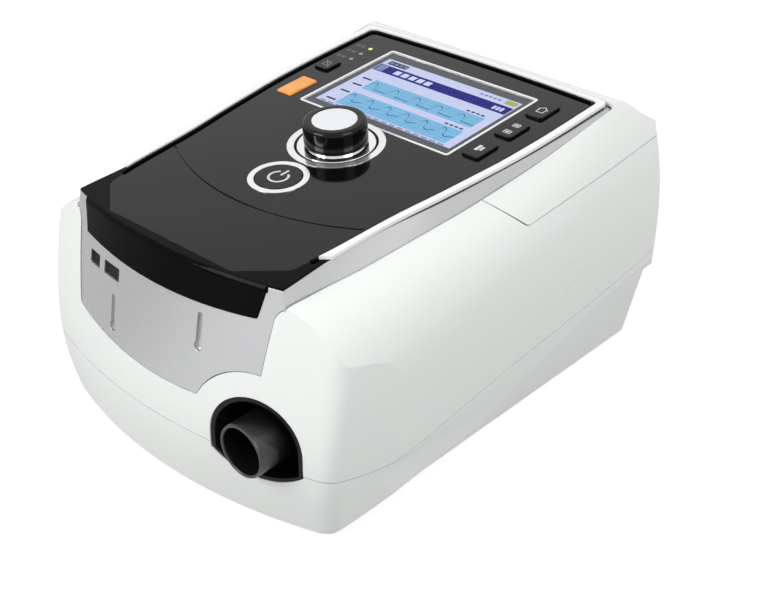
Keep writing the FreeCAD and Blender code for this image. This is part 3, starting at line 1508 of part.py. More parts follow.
# ---------------------------------------------------------------------------------------------------
# Inside: blower, ducts, intake, boards and battery
# ---------------------------------------------------------------------------------------------------
def build_blower():
    x, y = S.blower_x, S.blower_y
    r, wall = S.blower_radius, S.blower_wall
    low, split, top = S.blower_low, S.spigot_z, S.blower_top
    out = S.blower_out_end
    stub = rod_y(S.duct_radius, -out, y, S.spigot_x, split)
    bore = rod_y(S.spigot_bore, -out - 1, y, S.spigot_x, split)
    upper_half = box(-20, 90, -60, 60, split, top + 10)
    lower_half = box(-20, 90, -60, 60, low - 10, split)

    lower = fuse(rod(r, low, split, x, y), common(stub, lower_half))
    lower = cut(lower, rod(r - wall, low + wall, split + 1, x, y), bore)
    seat = tube(S.motor_radius + wall, S.motor_radius + S.near, low + wall, low + 3 * wall, x, y)
    register("blower_lower", fuse(lower, seat))

    stub = rod_y(S.duct_radius, -out, y, S.spigot_x, split)
    bore = rod_y(S.spigot_bore, -out - 1, y, S.spigot_x, split)
    upper = fuse(rod(r, split, top, x, y), common(stub, upper_half))
    mouth = rod(S.blower_mouth, split, top + 1, x, y)
    register("blower_upper", cut(upper, rod(r - wall, split - 1, top - wall, x, y), bore, mouth))

    stator = revolve("motor_stator", [(5.0, low + wall), (S.motor_radius, low + wall),
                                      (S.motor_radius, S.motor_top),
                                      (5.0, S.motor_top)])
    put(stator, x, y, 0)
    races = [tube(5.0, S.rotor_shaft + 0.02, low + 4, low + 7, x, y),
             tube(5.0, S.rotor_shaft + 0.02, S.motor_top - 3, S.motor_top, x, y)]
    register("motor_bearings", group(*races))
    register("motor_shaft", rod(S.rotor_shaft, low + wall + 0.6, S.impeller_top - 4, x, y))
    mounts = []
    for dx, dy in ((-22, -20), (22, -20), (-22, 20), (22, 20)):
        mounts.append(rod(S.mount_radius, S.base_z + S.wall, low, x + dx, y + dy))
    register("blower_mounts", group(*mounts))


def common(*parts):
    obj = doc.addObject("Part::MultiCommon", "Common")
    obj.Shapes = list(parts)
    return obj


def build_impeller():
    """Radial impeller: back plate, hub and nine backswept blades."""
    low, top, r = D.impeller_low, D.impeller_top, D.impeller_radius
    body = disc(r, 0, 0, low, low + 1.4).fuse(disc(6.0, 0, 0, low, top - 3))
    blades = []
    for i in range(9):
        outer = Part.makeCylinder(22.0, top - low - 1, Vector(0, -14.0, low + 1))
        inner = Part.makeCylinder(20.8, top - low - 1, Vector(0, -14.0, low + 1))
        blade = outer.cut(inner).common(disc(r - 0.4, 0, 0, low, top))
        blade = blade.common(prism(2, 40, -30, 30, low, top))
        blade = blade.cut(disc(9.0, 0, 0, low + 1, top + 1)).common(prism(0, 40, -14, 30, low, top))
        blade.rotate(Vector(0, 0, 0), Vector(0, 0, 1), 40.0 * i)
        blades.append(blade)
    body = body.fuse(blades).cut(disc(D.rotor_shaft, 0, 0, low - 1, top))
    body.translate(Vector(D.blower_x, D.blower_y, 0))
    return feature("impeller", body)


def build_ducts():
    x, z = S.spigot_x, S.spigot_z
    near, far = S.blower_out_end + 1, S.spigot_inner_end - 1
    meter = cut(rod_y(S.duct_radius, -far, -near, x, z), rod_y(S.spigot_bore, -far - 1, 1 - near, x, z))
    head = box(x - 6, x + 6, -50, -40, z + S.duct_radius - 1, z + S.duct_radius + 5)
    bore = rod_y(S.spigot_bore, -far - 1, 1 - near, x, z)
    register("flow_sensor", fuse(meter, cut(head, bore)))
    sleeves = []
    for middle in (S.blower_out_end + 0.5, S.spigot_inner_end - 0.5):
        outer = rod_y(S.duct_radius + 2, -middle - 6, 6 - middle, x, z)
        inner = rod_y(S.duct_radius, -middle - 7, 7 - middle, x, z)
        sleeves.append(cut(outer, inner))
    register("duct_sleeves", group(*sleeves))


def build_intake():
    """Intake box: a low rear chamber behind the filter and a shallow channel over the blower."""
    w = D.intake_wall
    rear = intake_rear()
    x0, x1 = D.intake_left, D.intake_right
    outer = prism(x0, x1, D.intake_front, rear, D.intake_floor, D.intake_top)
    outer = outer.fuse(prism(x0, x1, D.intake_step, rear, D.intake_low, D.intake_top))
    inner = prism(x0 + w, x1 - w, D.intake_front + w, rear - w, D.intake_floor + w, D.intake_top - w)
    inner = inner.fuse(prism(x0 + w, x1 - w, D.intake_step + w, rear - w, D.intake_low + w,
                             D.intake_top - w))
    body = outer.cut(inner)
    cx = D.filter_left + D.filter_width / 2
    cz = D.filter_low + D.filter_height / 2
    mouth = rounded(rectangle(cx, cz, D.filter_width - 3.9, D.filter_height - 3.1, 1.5), "xz", rear - 12)
    down = disc(D.blower_mouth, D.blower_x, D.blower_y, D.intake_floor - 5, D.intake_floor + w + 1)
    legs = [prism(x, x + 3, y, y + 3, D.base_z + D.wall, D.intake_low) for x in (60, 12) for y in (52, 80)]
    feature("intake_box", body.cut([mouth.extrude(Vector(0, 40, 0)), down]).fuse(legs))

    block = prism(x0 + w, x1 - w, D.intake_step + w, rear - 14, D.intake_low + w, D.intake_top - w)
    tunnels = [prism(x, x + 7, D.intake_step, rear, D.intake_floor + w, D.intake_top - w - 2)
               for x in (22, 38, 54)]
    feature("silencer_foam", block.cut(tunnels))
    seal = tube(S.blower_mouth + S.seal_width, S.blower_mouth, S.blower_top, S.intake_floor, S.blower_x,
                S.blower_y)
    register("intake_seal", seal)


def build_boards():
    low = D.main_board_z
    high = low + D.board_thick
    spots = ledge_posts()
    rear = LEDGE_POST_REAR[1] + 8
    corners = [(-62, -80, 3), (62, -80, 3), (67, 20, 3), (67, rear, 3), (-67, rear, 3), (-67, 20, 3)]
    body = slab(corners, low, high).cut([disc(D.post_screw + D.fit, x, y, low - 1, high + 1)
                                         for x, y in spots])
    chips = [prism(-20, -2, -30, -12, high, high + 2), prism(10, 24, -40, -26, high, high + 1.8),
             prism(-48, -30, 20, 50, high, high + 6), prism(0, 40, 60, 68, high, high + 7),
             prism(-46, -26, -74, -66, high, high + 6), prism(30, 42, 10, 22, high, high + 3)]
    cans = [disc(4, -40 + 10 * i, -50, high, high + 9) for i in range(3)]
    feature("main_board", body.fuse(chips + cans))
    screws = []
    for x, y in spots:
        screws.append(disc(2.4, x, y, low - 1.6, low).fuse(disc(D.post_screw, x, y, low, high + 7)))
    feature("board_screws", Part.makeCompound(screws))


def build_power_parts():
    floor = D.base_z + D.wall
    corners = rectangle(-34.5, -50, 59, 74, 4.0)
    pack = slab(corners, floor, floor + 23)
    grooves = [prism(-66, -3, -50 + dy, -49 + dy, floor + 22, floor + 24) for dy in (-25, -8, 8, 25)]
    plug = prism(-14, -3, -14, -10, floor + 8, floor + 16)
    feature("battery_pack", pack.cut(grooves).fuse(plug))

    low = floor + 4
    board = prism(-64, -12, 0, 78, low, low + 1.6)
    top = low + 1.6
    pieces = [prism(-58, -36, 8, 34, top, top + 22), disc(9, -24, 22, top, top + 26),
              prism(-60, -42, 42, 70, top, top + 16), prism(-34, -18, 46, 72, top, top + 20),
              prism(-63, -61, 4, 74, top, top + 24)]
    legs = [disc(3, x, y, floor, low) for x in (-60, -16) for y in (4, 74)]
    feature("power_supply", board.fuse(pieces + legs))


def build_panel():
    feature("chassis_frame", build_chassis())
    feature("panel_bezel", build_bezel())
    panel_feature("panel_overlay", build_overlay())
    panel_feature("trim_frame", build_trim())
    panel_feature("display_board", build_display_board())
    build_docks()
    build_screen()
    build_dial()
    build_power()
    build_keys()


def check_and_export():
    """Every object has to be up to date and every piece a valid solid before it is written."""
    for obj in doc.Objects:
        if "Invalid" in obj.State or "Error" in obj.State:
            raise RuntimeError(f"{obj.Name} {obj.Label} is {obj.State}")
    os.makedirs("parts", exist_ok=True)
    for label, obj in NODES.items():
        shape = obj.Shape
        if shape.isNull() or not shape.isValid() or not shape.Solids:
            raise RuntimeError(f"{label} has no valid shape")
        shape.exportStep(f"parts/{label}.step")
        print(label, len(shape.Solids), round(shape.Volume))


def main():
    fill_sheet()
    cover = build_casing()
    build_panel()
    build_outlet()
    build_rear()
    build_rocker()
    build_filter(cover)
    build_feet()
    build_blower()
    build_impeller()
    build_ducts()
    build_intake()
    build_boards()
    build_power_parts()
    doc.recompute()
    check_and_export()


main()
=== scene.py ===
import math

import bmesh
import bpy
from mathutils import Euler, Matrix, Vector


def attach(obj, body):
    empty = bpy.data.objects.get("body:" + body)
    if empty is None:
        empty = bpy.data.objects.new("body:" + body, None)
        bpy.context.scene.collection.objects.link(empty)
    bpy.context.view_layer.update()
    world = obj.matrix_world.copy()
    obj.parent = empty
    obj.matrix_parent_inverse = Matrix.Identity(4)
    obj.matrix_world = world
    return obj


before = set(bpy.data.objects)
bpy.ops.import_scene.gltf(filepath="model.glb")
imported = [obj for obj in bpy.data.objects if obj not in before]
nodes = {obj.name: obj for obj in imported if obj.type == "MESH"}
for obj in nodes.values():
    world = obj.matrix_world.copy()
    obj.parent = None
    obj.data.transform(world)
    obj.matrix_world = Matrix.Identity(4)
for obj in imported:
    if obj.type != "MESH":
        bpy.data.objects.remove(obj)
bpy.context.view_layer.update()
mm = 0.001
print("frame loaded:", len(nodes), "nodes")

panelSet = {
    "tilt": 4.43,       # degrees, the control panel leans towards the user
    "height": 109.04,   # mm, panel plane above the table at the middle
}
panelTilt = math.radians(panelSet["tilt"])
panelPlace = (Matrix.Translation((0, 0, panelSet["height"] * mm))
              @ Matrix.Rotation(panelTilt, 4, "X"))
panelBack = panelPlace.inverted()


def panelTop(node):
    return max((panelBack @ v.co).z for v in nodes[node].data.vertices) / mm


def panelCentre(node):
    points = [panelBack @ v.co for v in nodes[node].data.vertices]
    middle = []
    for axis in range(2):
        span = [p[axis] for p in points]
        middle.append((min(span) + max(span)) / 2 / mm)
    return middle


def plug(tree, value, socket):  # a link or a plain number
    if isinstance(value, bpy.types.NodeSocket):
        tree.links.new(value, socket)
    else:
        socket.default_value = value


def mathNode(tree, operation, *values, clamp=False):
    node = tree.nodes.new("ShaderNodeMath")
    node.operation = operation
    node.use_clamp = clamp
    for value, socket in zip(values, node.inputs):
        plug(tree, value, socket)
    return node.outputs[0]


def noiseNode(tree, vector, scale, detail=3.0, rough=0.5):
    node = tree.nodes.new("ShaderNodeTexNoise")
    plug(tree, vector, node.inputs["Vector"])
    plug(tree, scale, node.inputs["Scale"])
    node.inputs["Detail"].default_value = detail
    node.inputs["Roughness"].default_value = rough
    return node.outputs[0]


def rampNode(tree, value, low, high):
    node = tree.nodes.new("ShaderNodeMapRange")
    plug(tree, value, node.inputs["Value"])
    node.inputs["From Min"].default_value = low
    node.inputs["From Max"].default_value = high
    return node


def bumpNode(tree, height, distance, strength):
    node = tree.nodes.new("ShaderNodeBump")
    plug(tree, height, node.inputs["Height"])
    plug(tree, strength, node.inputs["Strength"])
    node.inputs["Distance"].default_value = distance * mm
    return node


def mixColours(tree, first, second, factor):
    node = tree.nodes.new("ShaderNodeMix")
    node.data_type = "RGBA"
    for label, value in (("A", first), ("B", second)):
        plug(tree, (*value, 1) if isinstance(value, tuple) else value, node.inputs[label])
    plug(tree, factor, node.inputs["Factor"])
    return node.outputs["Result"]


def newGroup(name, inputs, outputs):
    group = bpy.data.node_groups.new(name, "ShaderNodeTree")
    for kind, label, value in inputs:
        socket = group.interface.new_socket(label, in_out="INPUT", socket_type=kind)
        if value is not None:
            socket.default_value = value
    for kind, label in outputs:
        group.interface.new_socket(label, in_out="OUTPUT", socket_type=kind)
    start = group.nodes.new("NodeGroupInput")
    end = group.nodes.new("NodeGroupOutput")
    return group, start.outputs, end.inputs


skinSet = {
    "cloudScale": 28.0,
    "cloudDetail": 4.0,
    "cloudMiddle": 0.5,        # where the tone stays as written
    "grainDetail": 2.0,
    "shares": (0.7, 0.3),      # cloud and grain in the roughness
    "swingOver": (0.35, 0.65),
    "bumpHeight": 0.2,         # mm
    "edgeSamples": 4,
}


def makeSkinGroup():
    group, start, end = newGroup(
        "mouldedSkin",
        [("NodeSocketVector", "Vector", None),
         ("NodeSocketColor", "Tone", (0.8, 0.8, 0.8, 1)),
         ("NodeSocketFloat", "Tone Swing", 0.03),
         ("NodeSocketFloat", "Rough Low", 0.3),
         ("NodeSocketFloat", "Rough High", 0.4),
         ("NodeSocketFloat", "Grain Scale", 2500.0),
         ("NodeSocketFloat", "Grain Depth", 0.1),
         ("NodeSocketFloat", "Edge Radius", 0.0003)],
        [("NodeSocketColor", "Color"), ("NodeSocketFloat", "Roughness"),
         ("NodeSocketVector", "Normal")])
    cloud = noiseNode(group, start["Vector"], skinSet["cloudScale"], skinSet["cloudDetail"])
    grain = noiseNode(group, start["Vector"], start["Grain Scale"], skinSet["grainDetail"])

    offTone = mathNode(group, "SUBTRACT", cloud, skinSet["cloudMiddle"])
    shade = mathNode(group, "MULTIPLY", offTone, start["Tone Swing"])
    hue = group.nodes.new("ShaderNodeHueSaturation")
    plug(group, start["Tone"], hue.inputs["Color"])
    plug(group, mathNode(group, "ADD", shade, 1.0), hue.inputs["Value"])
    plug(group, hue.outputs[0], end["Color"])

    cloudShare, grainShare = skinSet["shares"]
    blend = mathNode(group, "ADD", mathNode(group, "MULTIPLY", cloud, cloudShare),
                     mathNode(group, "MULTIPLY", grain, grainShare))
    spread = rampNode(group, blend, *skinSet["swingOver"])
    plug(group, start["Rough Low"], spread.inputs["To Min"])
    plug(group, start["Rough High"], spread.inputs["To Max"])
    plug(group, spread.outputs[0], end["Roughness"])

    soften = group.nodes.new("ShaderNodeBevel")  # moulded edges are never knife sharp
    soften.samples = skinSet["edgeSamples"]
    plug(group, start["Edge Radius"], soften.inputs["Radius"])
    bump = bumpNode(group, grain, skinSet["bumpHeight"], start["Grain Depth"])
    plug(group, soften.outputs[0], bump.inputs["Normal"])
    plug(group, bump.outputs[0], end["Normal"])
    return group


wipeSet = {
    "turn": 24,                       # degrees, the way the cloth went
    "stretch": (60, 1100, 400),
    "strokeNoise": (1.0, 3.0, 0.6),   # scale, detail, roughness
    "blotScale": 45.0,
    "shares": (0.6, 0.4),             # strokes and blots
    "marksOver": (0.52, 0.72),
}


def makeWipeGroup():
    group, start, end = newGroup(
        "wipeMarks",
        [("NodeSocketVector", "Vector", None), ("NodeSocketFloat", "Roughness", 0.2),
         ("NodeSocketFloat", "Marks", 0.1)],
        [("NodeSocketFloat", "Roughness")])
    cloth = group.nodes.new("ShaderNodeMapping")  # strokes of a cleaning cloth
    cloth.inputs["Rotation"].default_value = (0, 0, math.radians(wipeSet["turn"]))
    cloth.inputs["Scale"].default_value = wipeSet["stretch"]
    plug(group, start["Vector"], cloth.inputs["Vector"])
    strokes = noiseNode(group, cloth.outputs[0], *wipeSet["strokeNoise"])
    blot = noiseNode(group, start["Vector"], wipeSet["blotScale"])
    strokeShare, blotShare = wipeSet["shares"]
    both = mathNode(group, "ADD", mathNode(group, "MULTIPLY", strokes, strokeShare),
                    mathNode(group, "MULTIPLY", blot, blotShare))
    cut = rampNode(group, both, *wipeSet["marksOver"])
    added = mathNode(group, "MULTIPLY", cut.outputs[0], start["Marks"])
    plug(group, mathNode(group, "ADD", start["Roughness"], added, clamp=True), end["Roughness"])
    return group


skinGroup = makeSkinGroup()
wipeGroup = makeWipeGroup()
print("shader groups ready")


def startMaterial(name):
    material = bpy.data.materials.new(name)
    material.use_nodes = True
    tree = material.node_tree
    coords = tree.nodes.new("ShaderNodeTexCoord")
    return material, tree, tree.nodes["Principled BSDF"].inputs, coords.outputs["Object"]


def reopen(material):
    tree = material.node_tree
    coords = [n for n in tree.nodes if n.bl_idname == "ShaderNodeTexCoord"][0]
    return tree, tree.nodes["Principled BSDF"].inputs, coords.outputs["Object"]


def placeGroup(tree, group, vector):
    node = tree.nodes.new("ShaderNodeGroup")
    node.node_tree = group
    plug(tree, vector, node.inputs["Vector"])
    return node


def varyRough(tree, shader, pattern, swing, low):
    rough = mathNode(tree, "ADD", mathNode(tree, "MULTIPLY", pattern, swing), low)
    plug(tree, rough, shader["Roughness"])


plainFinish = {  # what a finish has unless it says otherwise
    "toneSwing": 0.03,
    "grainScale": 2500,
    "grainDepth": 0.1,
    "edge": 0.3,        # mm, rounding of the edges
    "marks": 0.0,       # wipe marks in the gloss
    "metallic": 0.0,
    "specular": 0.5,
}


def moulded(name, ownFinish):
    finish = plainFinish | ownFinish
    material, tree, shader, coords = startMaterial(name)
    skin = placeGroup(tree, skinGroup, coords)
    roughLow, roughHigh = finish["rough"]
    for label, value in (("Tone", (*finish["colour"], 1)), ("Tone Swing", finish["toneSwing"]),
                         ("Rough Low", roughLow), ("Rough High", roughHigh),
                         ("Grain Scale", finish["grainScale"]),
                         ("Grain Depth", finish["grainDepth"]),
                         ("Edge Radius", finish["edge"] * mm)):
        skin.inputs[label].default_value = value
    plug(tree, skin.outputs["Color"], shader["Base Color"])
    plug(tree, skin.outputs["Normal"], shader["Normal"])
    rough = skin.outputs["Roughness"]
    if finish["marks"]:
        wipe = placeGroup(tree, wipeGroup, coords)
        wipe.inputs["Marks"].default_value = finish["marks"]
        plug(tree, rough, wipe.inputs["Roughness"])
        rough = wipe.outputs["Roughness"]
    plug(tree, rough, shader["Roughness"])
    shader["Metallic"].default_value = finish["metallic"]
    shader["Specular IOR Level"].default_value = finish["specular"]
    return material


casingFinish = {"colour": (0.86, 0.885, 0.86), "rough": (0.26, 0.36), "grainScale": 3200,
                "grainDepth": 0.05, "toneSwing": 0.015, "edge": 0.35, "marks": 0.015}
casingWhite = moulded("casingWhite", casingFinish)

silverFinish = {"colour": (0.54, 0.545, 0.552), "rough": (0.24, 0.28), "grainScale": 6000,
                "grainDepth": 0.05, "metallic": 0.7, "edge": 0.4}
silverPaint = moulded("silverPaint", silverFinish)

bezelFinish = {"colour": (0.0010, 0.0010, 0.0011), "rough": (0.04, 0.07), "grainScale": 900,
               "grainDepth": 0.01, "specular": 0.05, "marks": 0.02}
glossBlack = moulded("glossBlack", bezelFinish)

overlayFinish = {"colour": (0.0028, 0.0028, 0.0030), "rough": (0.045, 0.075),
                 "grainScale": 5200, "grainDepth": 0.012, "toneSwing": 0.1,
                 "specular": 0.23, "edge": 0.1, "marks": 0.03}
overlayBlack = moulded("overlayBlack", overlayFinish)

trimFinish = {"colour": (0.86, 0.87, 0.86), "rough": (0.16, 0.24), "grainScale": 3000,
              "grainDepth": 0.03, "toneSwing": 0.02, "edge": 0.2, "marks": 0.04,
              # painted shadow: below footTop the frame is coloured near black, standing for the
              # shadow gap under it
              "foot": (0.012, 0.012, 0.012),
              "footTop": 0.2, "footFade": 0.06}  # mm over the panel
trimWhite = moulded("trimWhite", trimFinish)


def paintFootShadow(material, finish):  # painted shadow: the narrower foot of the frame is coloured near black for the shadow in the gap under it
    tree, shader, coords = reopen(material)
    out = tree.nodes.new("ShaderNodeVectorMath")  # height over the panel plane
    out.operation = "DOT_PRODUCT"
    out.inputs[1].default_value = (0, -math.sin(panelTilt), math.cos(panelTilt))
    plug(tree, coords, out.inputs[0])
    level = mathNode(tree, "SUBTRACT", out.outputs["Value"],
                     panelSet["height"] * math.cos(panelTilt) * mm)
    step = rampNode(tree, level, (finish["footTop"] - finish["footFade"]) * mm,
                    finish["footTop"] * mm)
    skin = shader["Base Color"].links[0].from_socket
    plug(tree, mixColours(tree, finish["foot"], skin, step.outputs[0]), shader["Base Color"])


paintFootShadow(trimWhite, trimFinish)

printFinish = {"colour": (0.80, 0.81, 0.81), "rough": (0.34, 0.44), "grainScale": 7000,
               "grainDepth": 0.05, "edge": 0.05}
printWhite = moulded("printWhite", printFinish)

ringFinish = {"colour": (0.86, 0.87, 0.88), "rough": (0.12, 0.18), "grainScale": 4200,
              "grainDepth": 0.03, "metallic": 0.85, "edge": 0.15, "marks": 0.05}
ringSilver = moulded("ringSilver", ringFinish)

chromeFinish = {"colour": (0.85, 0.86, 0.88), "rough": (0.04, 0.08), "grainScale": 1800,
                "grainDepth": 0.01, "metallic": 1.0, "edge": 0.2, "marks": 0.04}
brightChrome = moulded("brightChrome", chromeFinish)

knobFinish = {"colour": (0.0025, 0.0025, 0.0028), "rough": (0.10, 0.16), "grainScale": 2600,
              "grainDepth": 0.03, "specular": 0.22, "marks": 0.05}
knobBlack = moulded("knobBlack", knobFinish)

capFinish = {"colour": (0.76, 0.77, 0.78), "rough": (0.26, 0.34), "grainScale": 3600,
             "grainDepth": 0.05, "edge": 0.2, "marks": 0.05}
capWhite = moulded("capWhite", capFinish)

keyFinish = {"colour": (0.0030, 0.0030, 0.0032), "rough": (0.16, 0.24), "grainScale": 4800,
             "grainDepth": 0.04, "specular": 0.22, "edge": 0.2, "marks": 0.04}
keyDark = moulded("keyDark", keyFinish)

spigotFinish = {"colour": (0.031, 0.031, 0.033), "rough": (0.34, 0.44), "grainScale": 2600,
                "grainDepth": 0.16, "edge": 0.4, "toneSwing": 0.2,
                "paintedShade": (0.004, 0.004, 0.0045),   # painted shade: near black in the bore and towards the back, for the shade inside the recess
                "axis": (50.6, 38.6),             # mm, across and up
                "back": 103.4, "backFade": 0.6,
                "lean": 0.9, "leanFrom": 2.0,     # the painted shade's border leans forward above the axis, like the shadow cast by the recess's arch
                "bore": 9.9, "boreFade": 0.1}
spigotGrey = moulded("spigotGrey", spigotFinish)


# painted shade: darkens the spigot's colour in its bore and towards its back, where the outlet
# recess shades it
def paintSpigotShade(material, finish):
    tree, shader, coords = reopen(material)
    across, up = finish["axis"]
    centre = tree.nodes.new("ShaderNodeMapping")
    centre.inputs["Location"].default_value = (-across * mm, finish["back"] * mm, -up * mm)
    plug(tree, coords, centre.inputs["Vector"])
    split = tree.nodes.new("ShaderNodeSeparateXYZ")
    plug(tree, centre.outputs[0], split.inputs[0])
    x, y, z = split.outputs
    above = mathNode(tree, "MAXIMUM",
                     mathNode(tree, "SUBTRACT", z, finish["leanFrom"] * mm), 0.0)
    inward = mathNode(tree, "ADD", y, mathNode(tree, "MULTIPLY", above, finish["lean"]))
    away = mathNode(tree, "SQRT", mathNode(tree, "ADD", mathNode(tree, "MULTIPLY", x, x),
                                           mathNode(tree, "MULTIPLY", z, z)))
    masks = []
    for value, at, fade in ((inward, 0.0, finish["backFade"]),
                            (away, finish["bore"], -finish["boreFade"])):
        masks.append(rampNode(tree, value, (at - fade) * mm, (at + fade) * mm).outputs[0])
    skin = shader["Base Color"].links[0].from_socket
    shadeMask = mathNode(tree, "MAXIMUM", *masks)
    plug(tree, mixColours(tree, skin, finish["paintedShade"], shadeMask), shader["Base Color"])


paintSpigotShade(spigotGrey, spigotFinish)

# partly the parts' own black, partly painted shade: near black, darker than the dark plastic,
# for the shade deep inside the outlet cup and the dock windows
recessShadeFinish = {"colour": (0.004, 0.004, 0.0045), "rough": (0.45, 0.55), "grainScale": 2200,
                "grainDepth": 0.2, "specular": 0.2}
recessShadeBlack = moulded("recessShadeBlack", recessShadeFinish)

darkFinish = {"colour": (0.018, 0.018, 0.019), "rough": (0.36, 0.48), "grainScale": 2400,
              "grainDepth": 0.2, "toneSwing": 0.15}
darkPlastic = moulded("darkPlastic", darkFinish)

rubberFinish = {"colour": (0.022, 0.022, 0.022), "rough": (0.70, 0.86), "grainScale": 1800,
                "grainDepth": 0.35, "specular": 0.25, "toneSwing": 0.2}
softRubber = moulded("softRubber", rubberFinish)

greyFinish = {"colour": (0.30, 0.31, 0.32), "rough": (0.40, 0.52), "grainScale": 2200,
              "grainDepth": 0.15, "toneSwing": 0.08}
mouldedGrey = moulded("mouldedGrey", greyFinish)

steelFinish = {"colour": (0.60, 0.61, 0.62), "rough": (0.24, 0.36), "grainScale": 3000,
               "grainDepth": 0.08, "metallic": 1.0, "edge": 0.15, "marks": 0.1}
zincSteel = moulded("zincSteel", steelFinish)

motorFinish = {"colour": (0.70, 0.70, 0.72), "rough": (0.28, 0.40), "grainScale": 2600,
               "metallic": 1.0, "edge": 0.2, "marks": 0.1}
motorCase = moulded("motorCase", motorFinish)

wrapFinish = {"colour": (0.015, 0.045, 0.16), "rough": (0.28, 0.40), "grainScale": 600,
              "grainDepth": 0.2, "edge": 0.6, "toneSwing": 0.15}
batteryWrap = moulded("batteryWrap", wrapFinish)

boardFinish = {"mask": (0.010, 0.085, 0.030), "copper": (0.022, 0.150, 0.060),
               "trackScale": 260, "trackEdge": (0.40, 0.46), "trackHeight": 0.1,  # mm
               "bump": 0.4, "rough": 0.28, "roughSwing": 0.1}


def boardMaterial(finish):
    material, tree, shader, coords = startMaterial("boardGreen")
    tracks = tree.nodes.new("ShaderNodeTexVoronoi")
    tracks.distance = "CHEBYCHEV"
    tracks.feature = "F1"
    tracks.inputs["Scale"].default_value = finish["trackScale"]
    plug(tree, coords, tracks.inputs["Vector"])
    lines = rampNode(tree, tracks.outputs["Distance"], *finish["trackEdge"]).outputs[0]
    plug(tree, mixColours(tree, finish["mask"], finish["copper"], lines), shader["Base Color"])
    bump = bumpNode(tree, lines, finish["trackHeight"], finish["bump"])
    plug(tree, bump.outputs[0], shader["Normal"])
    varyRough(tree, shader, lines, finish["roughSwing"], finish["rough"])
    return material


foamFinish = {"colour": (0.10, 0.10, 0.11), "hole": (0.02, 0.02, 0.022), "cellScale": 900,
              "cellDepth": 0.8, "bump": 0.8, "rough": 0.82, "roughSwing": 0.1}


def foamMaterial(finish):
    material, tree, shader, coords = startMaterial("openFoam")
    cells = tree.nodes.new("ShaderNodeTexVoronoi")
    cells.inputs["Scale"].default_value = finish["cellScale"]
    plug(tree, coords, cells.inputs["Vector"])
    wall = cells.outputs["Distance"]
    plug(tree, mixColours(tree, finish["hole"], finish["colour"], wall), shader["Base Color"])
    bump = bumpNode(tree, wall, finish["cellDepth"], finish["bump"])
    plug(tree, bump.outputs[0], shader["Normal"])
    varyRough(tree, shader, wall, finish["roughSwing"], finish["rough"])
    return material


lensFinish = {"rough": 0.02, "ior": 1.12}


def lensMaterial(finish):
    material, _, shader, _ = startMaterial("lensClear")
    shader["Base Color"].default_value = (1, 1, 1, 1)
    shader["Transmission Weight"].default_value = 1.0
    shader["IOR"].default_value = finish["ior"]
    shader["Roughness"].default_value = finish["rough"]
    return material


amberFinish = {"colour": (0.62, 0.185, 0.012), "core": (0.90, 0.42, 0.085), "glow": 0.16,
               "cloudScale": 220.0, "cloudDetail": 2.0, "rough": 0.18, "roughSwing": 0.12}


def amberMaterial(finish):
    material, tree, shader, coords = startMaterial("alarmAmber")
    cloud = noiseNode(tree, coords, finish["cloudScale"], finish["cloudDetail"])
    tone = mixColours(tree, finish["colour"], finish["core"], cloud)
    plug(tree, tone, shader["Base Color"])
    plug(tree, tone, shader["Emission Color"])
    shader["Emission Strength"].default_value = finish["glow"]
    varyRough(tree, shader, cloud, finish["roughSwing"], finish["rough"])
    return material


lampFinish = {"lit": (0.42, 0.56, 0.08), "clear": (0.26, 0.28, 0.28), "glow": 0.8,
              "from": 65.0,    # mm, the lamp behind this line is on
              "cloudScale": 900.0, "rough": 0.1, "roughSwing": 0.1}


def lampMaterial(finish):
    material, tree, shader, coords = startMaterial("lampLens")
    split = tree.nodes.new("ShaderNodeSeparateXYZ")
    plug(tree, coords, split.inputs[0])
    lit = mathNode(tree, "GREATER_THAN", split.outputs["Y"], finish["from"] * mm)
    plug(tree, mixColours(tree, finish["clear"], finish["lit"], lit), shader["Base Color"])
    plug(tree, mixColours(tree, (0, 0, 0), finish["lit"], lit), shader["Emission Color"])
    shader["Emission Strength"].default_value = finish["glow"]
    cloud = noiseNode(tree, coords, finish["cloudScale"])
    varyRough(tree, shader, cloud, finish["roughSwing"], finish["rough"])
    return material


boardGreen = boardMaterial(boardFinish)
openFoam = foamMaterial(foamFinish)
lensClear = lensMaterial(lensFinish)
alarmAmber = amberMaterial(amberFinish)
lampLens = lampMaterial(lampFinish)

dressing = {
    casingWhite: ("base_tray", "outer_shell", "handle_cover", "filter_cover"),
    silverPaint: ("chassis_frame",),
    glossBlack: ("panel_bezel",),
    overlayBlack: ("panel_overlay",),
    trimWhite: ("trim_frame",),
    printWhite: ("screen_rim",),
    ringSilver: ("dial_ring", "power_ring"),
    brightChrome: ("dial_flange",),
    knobBlack: ("dial_knob",),
    capWhite: ("dial_cap",),
    keyDark: ("power_button", "key_lower", "key_middle", "key_upper", "mute_key"),
    spigotGrey: ("outlet_spigot",),
    recessShadeBlack: ("outlet_cup", "dock_window_small", "dock_window_large"),
    darkPlastic: ("mains_inlet", "switch_frame", "rocker_switch", "data_ports", "oxygen_port",
                  "encoder_body", "lcd_module"),
    softRubber: ("rubber_feet", "key_domes", "outlet_gasket", "blower_mounts", "duct_sleeves",
                 "intake_seal"),
    mouldedGrey: ("blower_lower", "blower_upper", "impeller", "flow_sensor", "intake_box"),
    zincSteel: ("housing_screws", "board_screws", "encoder_shaft", "motor_bearings",
                "motor_shaft"),
    motorCase: ("motor_stator",),
    batteryWrap: ("battery_pack",),
    boardGreen: ("main_board", "display_board", "power_supply"),
    openFoam: ("silencer_foam", "air_filter"),
    lensClear: ("screen_lens",),
    alarmAmber: ("alarm_light",),
    lampLens: ("status_leds",),
}
for material, members in dressing.items():
    for member in members:
        for spot in nodes[member].material_slots:
            spot.material = material
print("materials on", sum(len(m) for m in dressing.values()), "nodes")


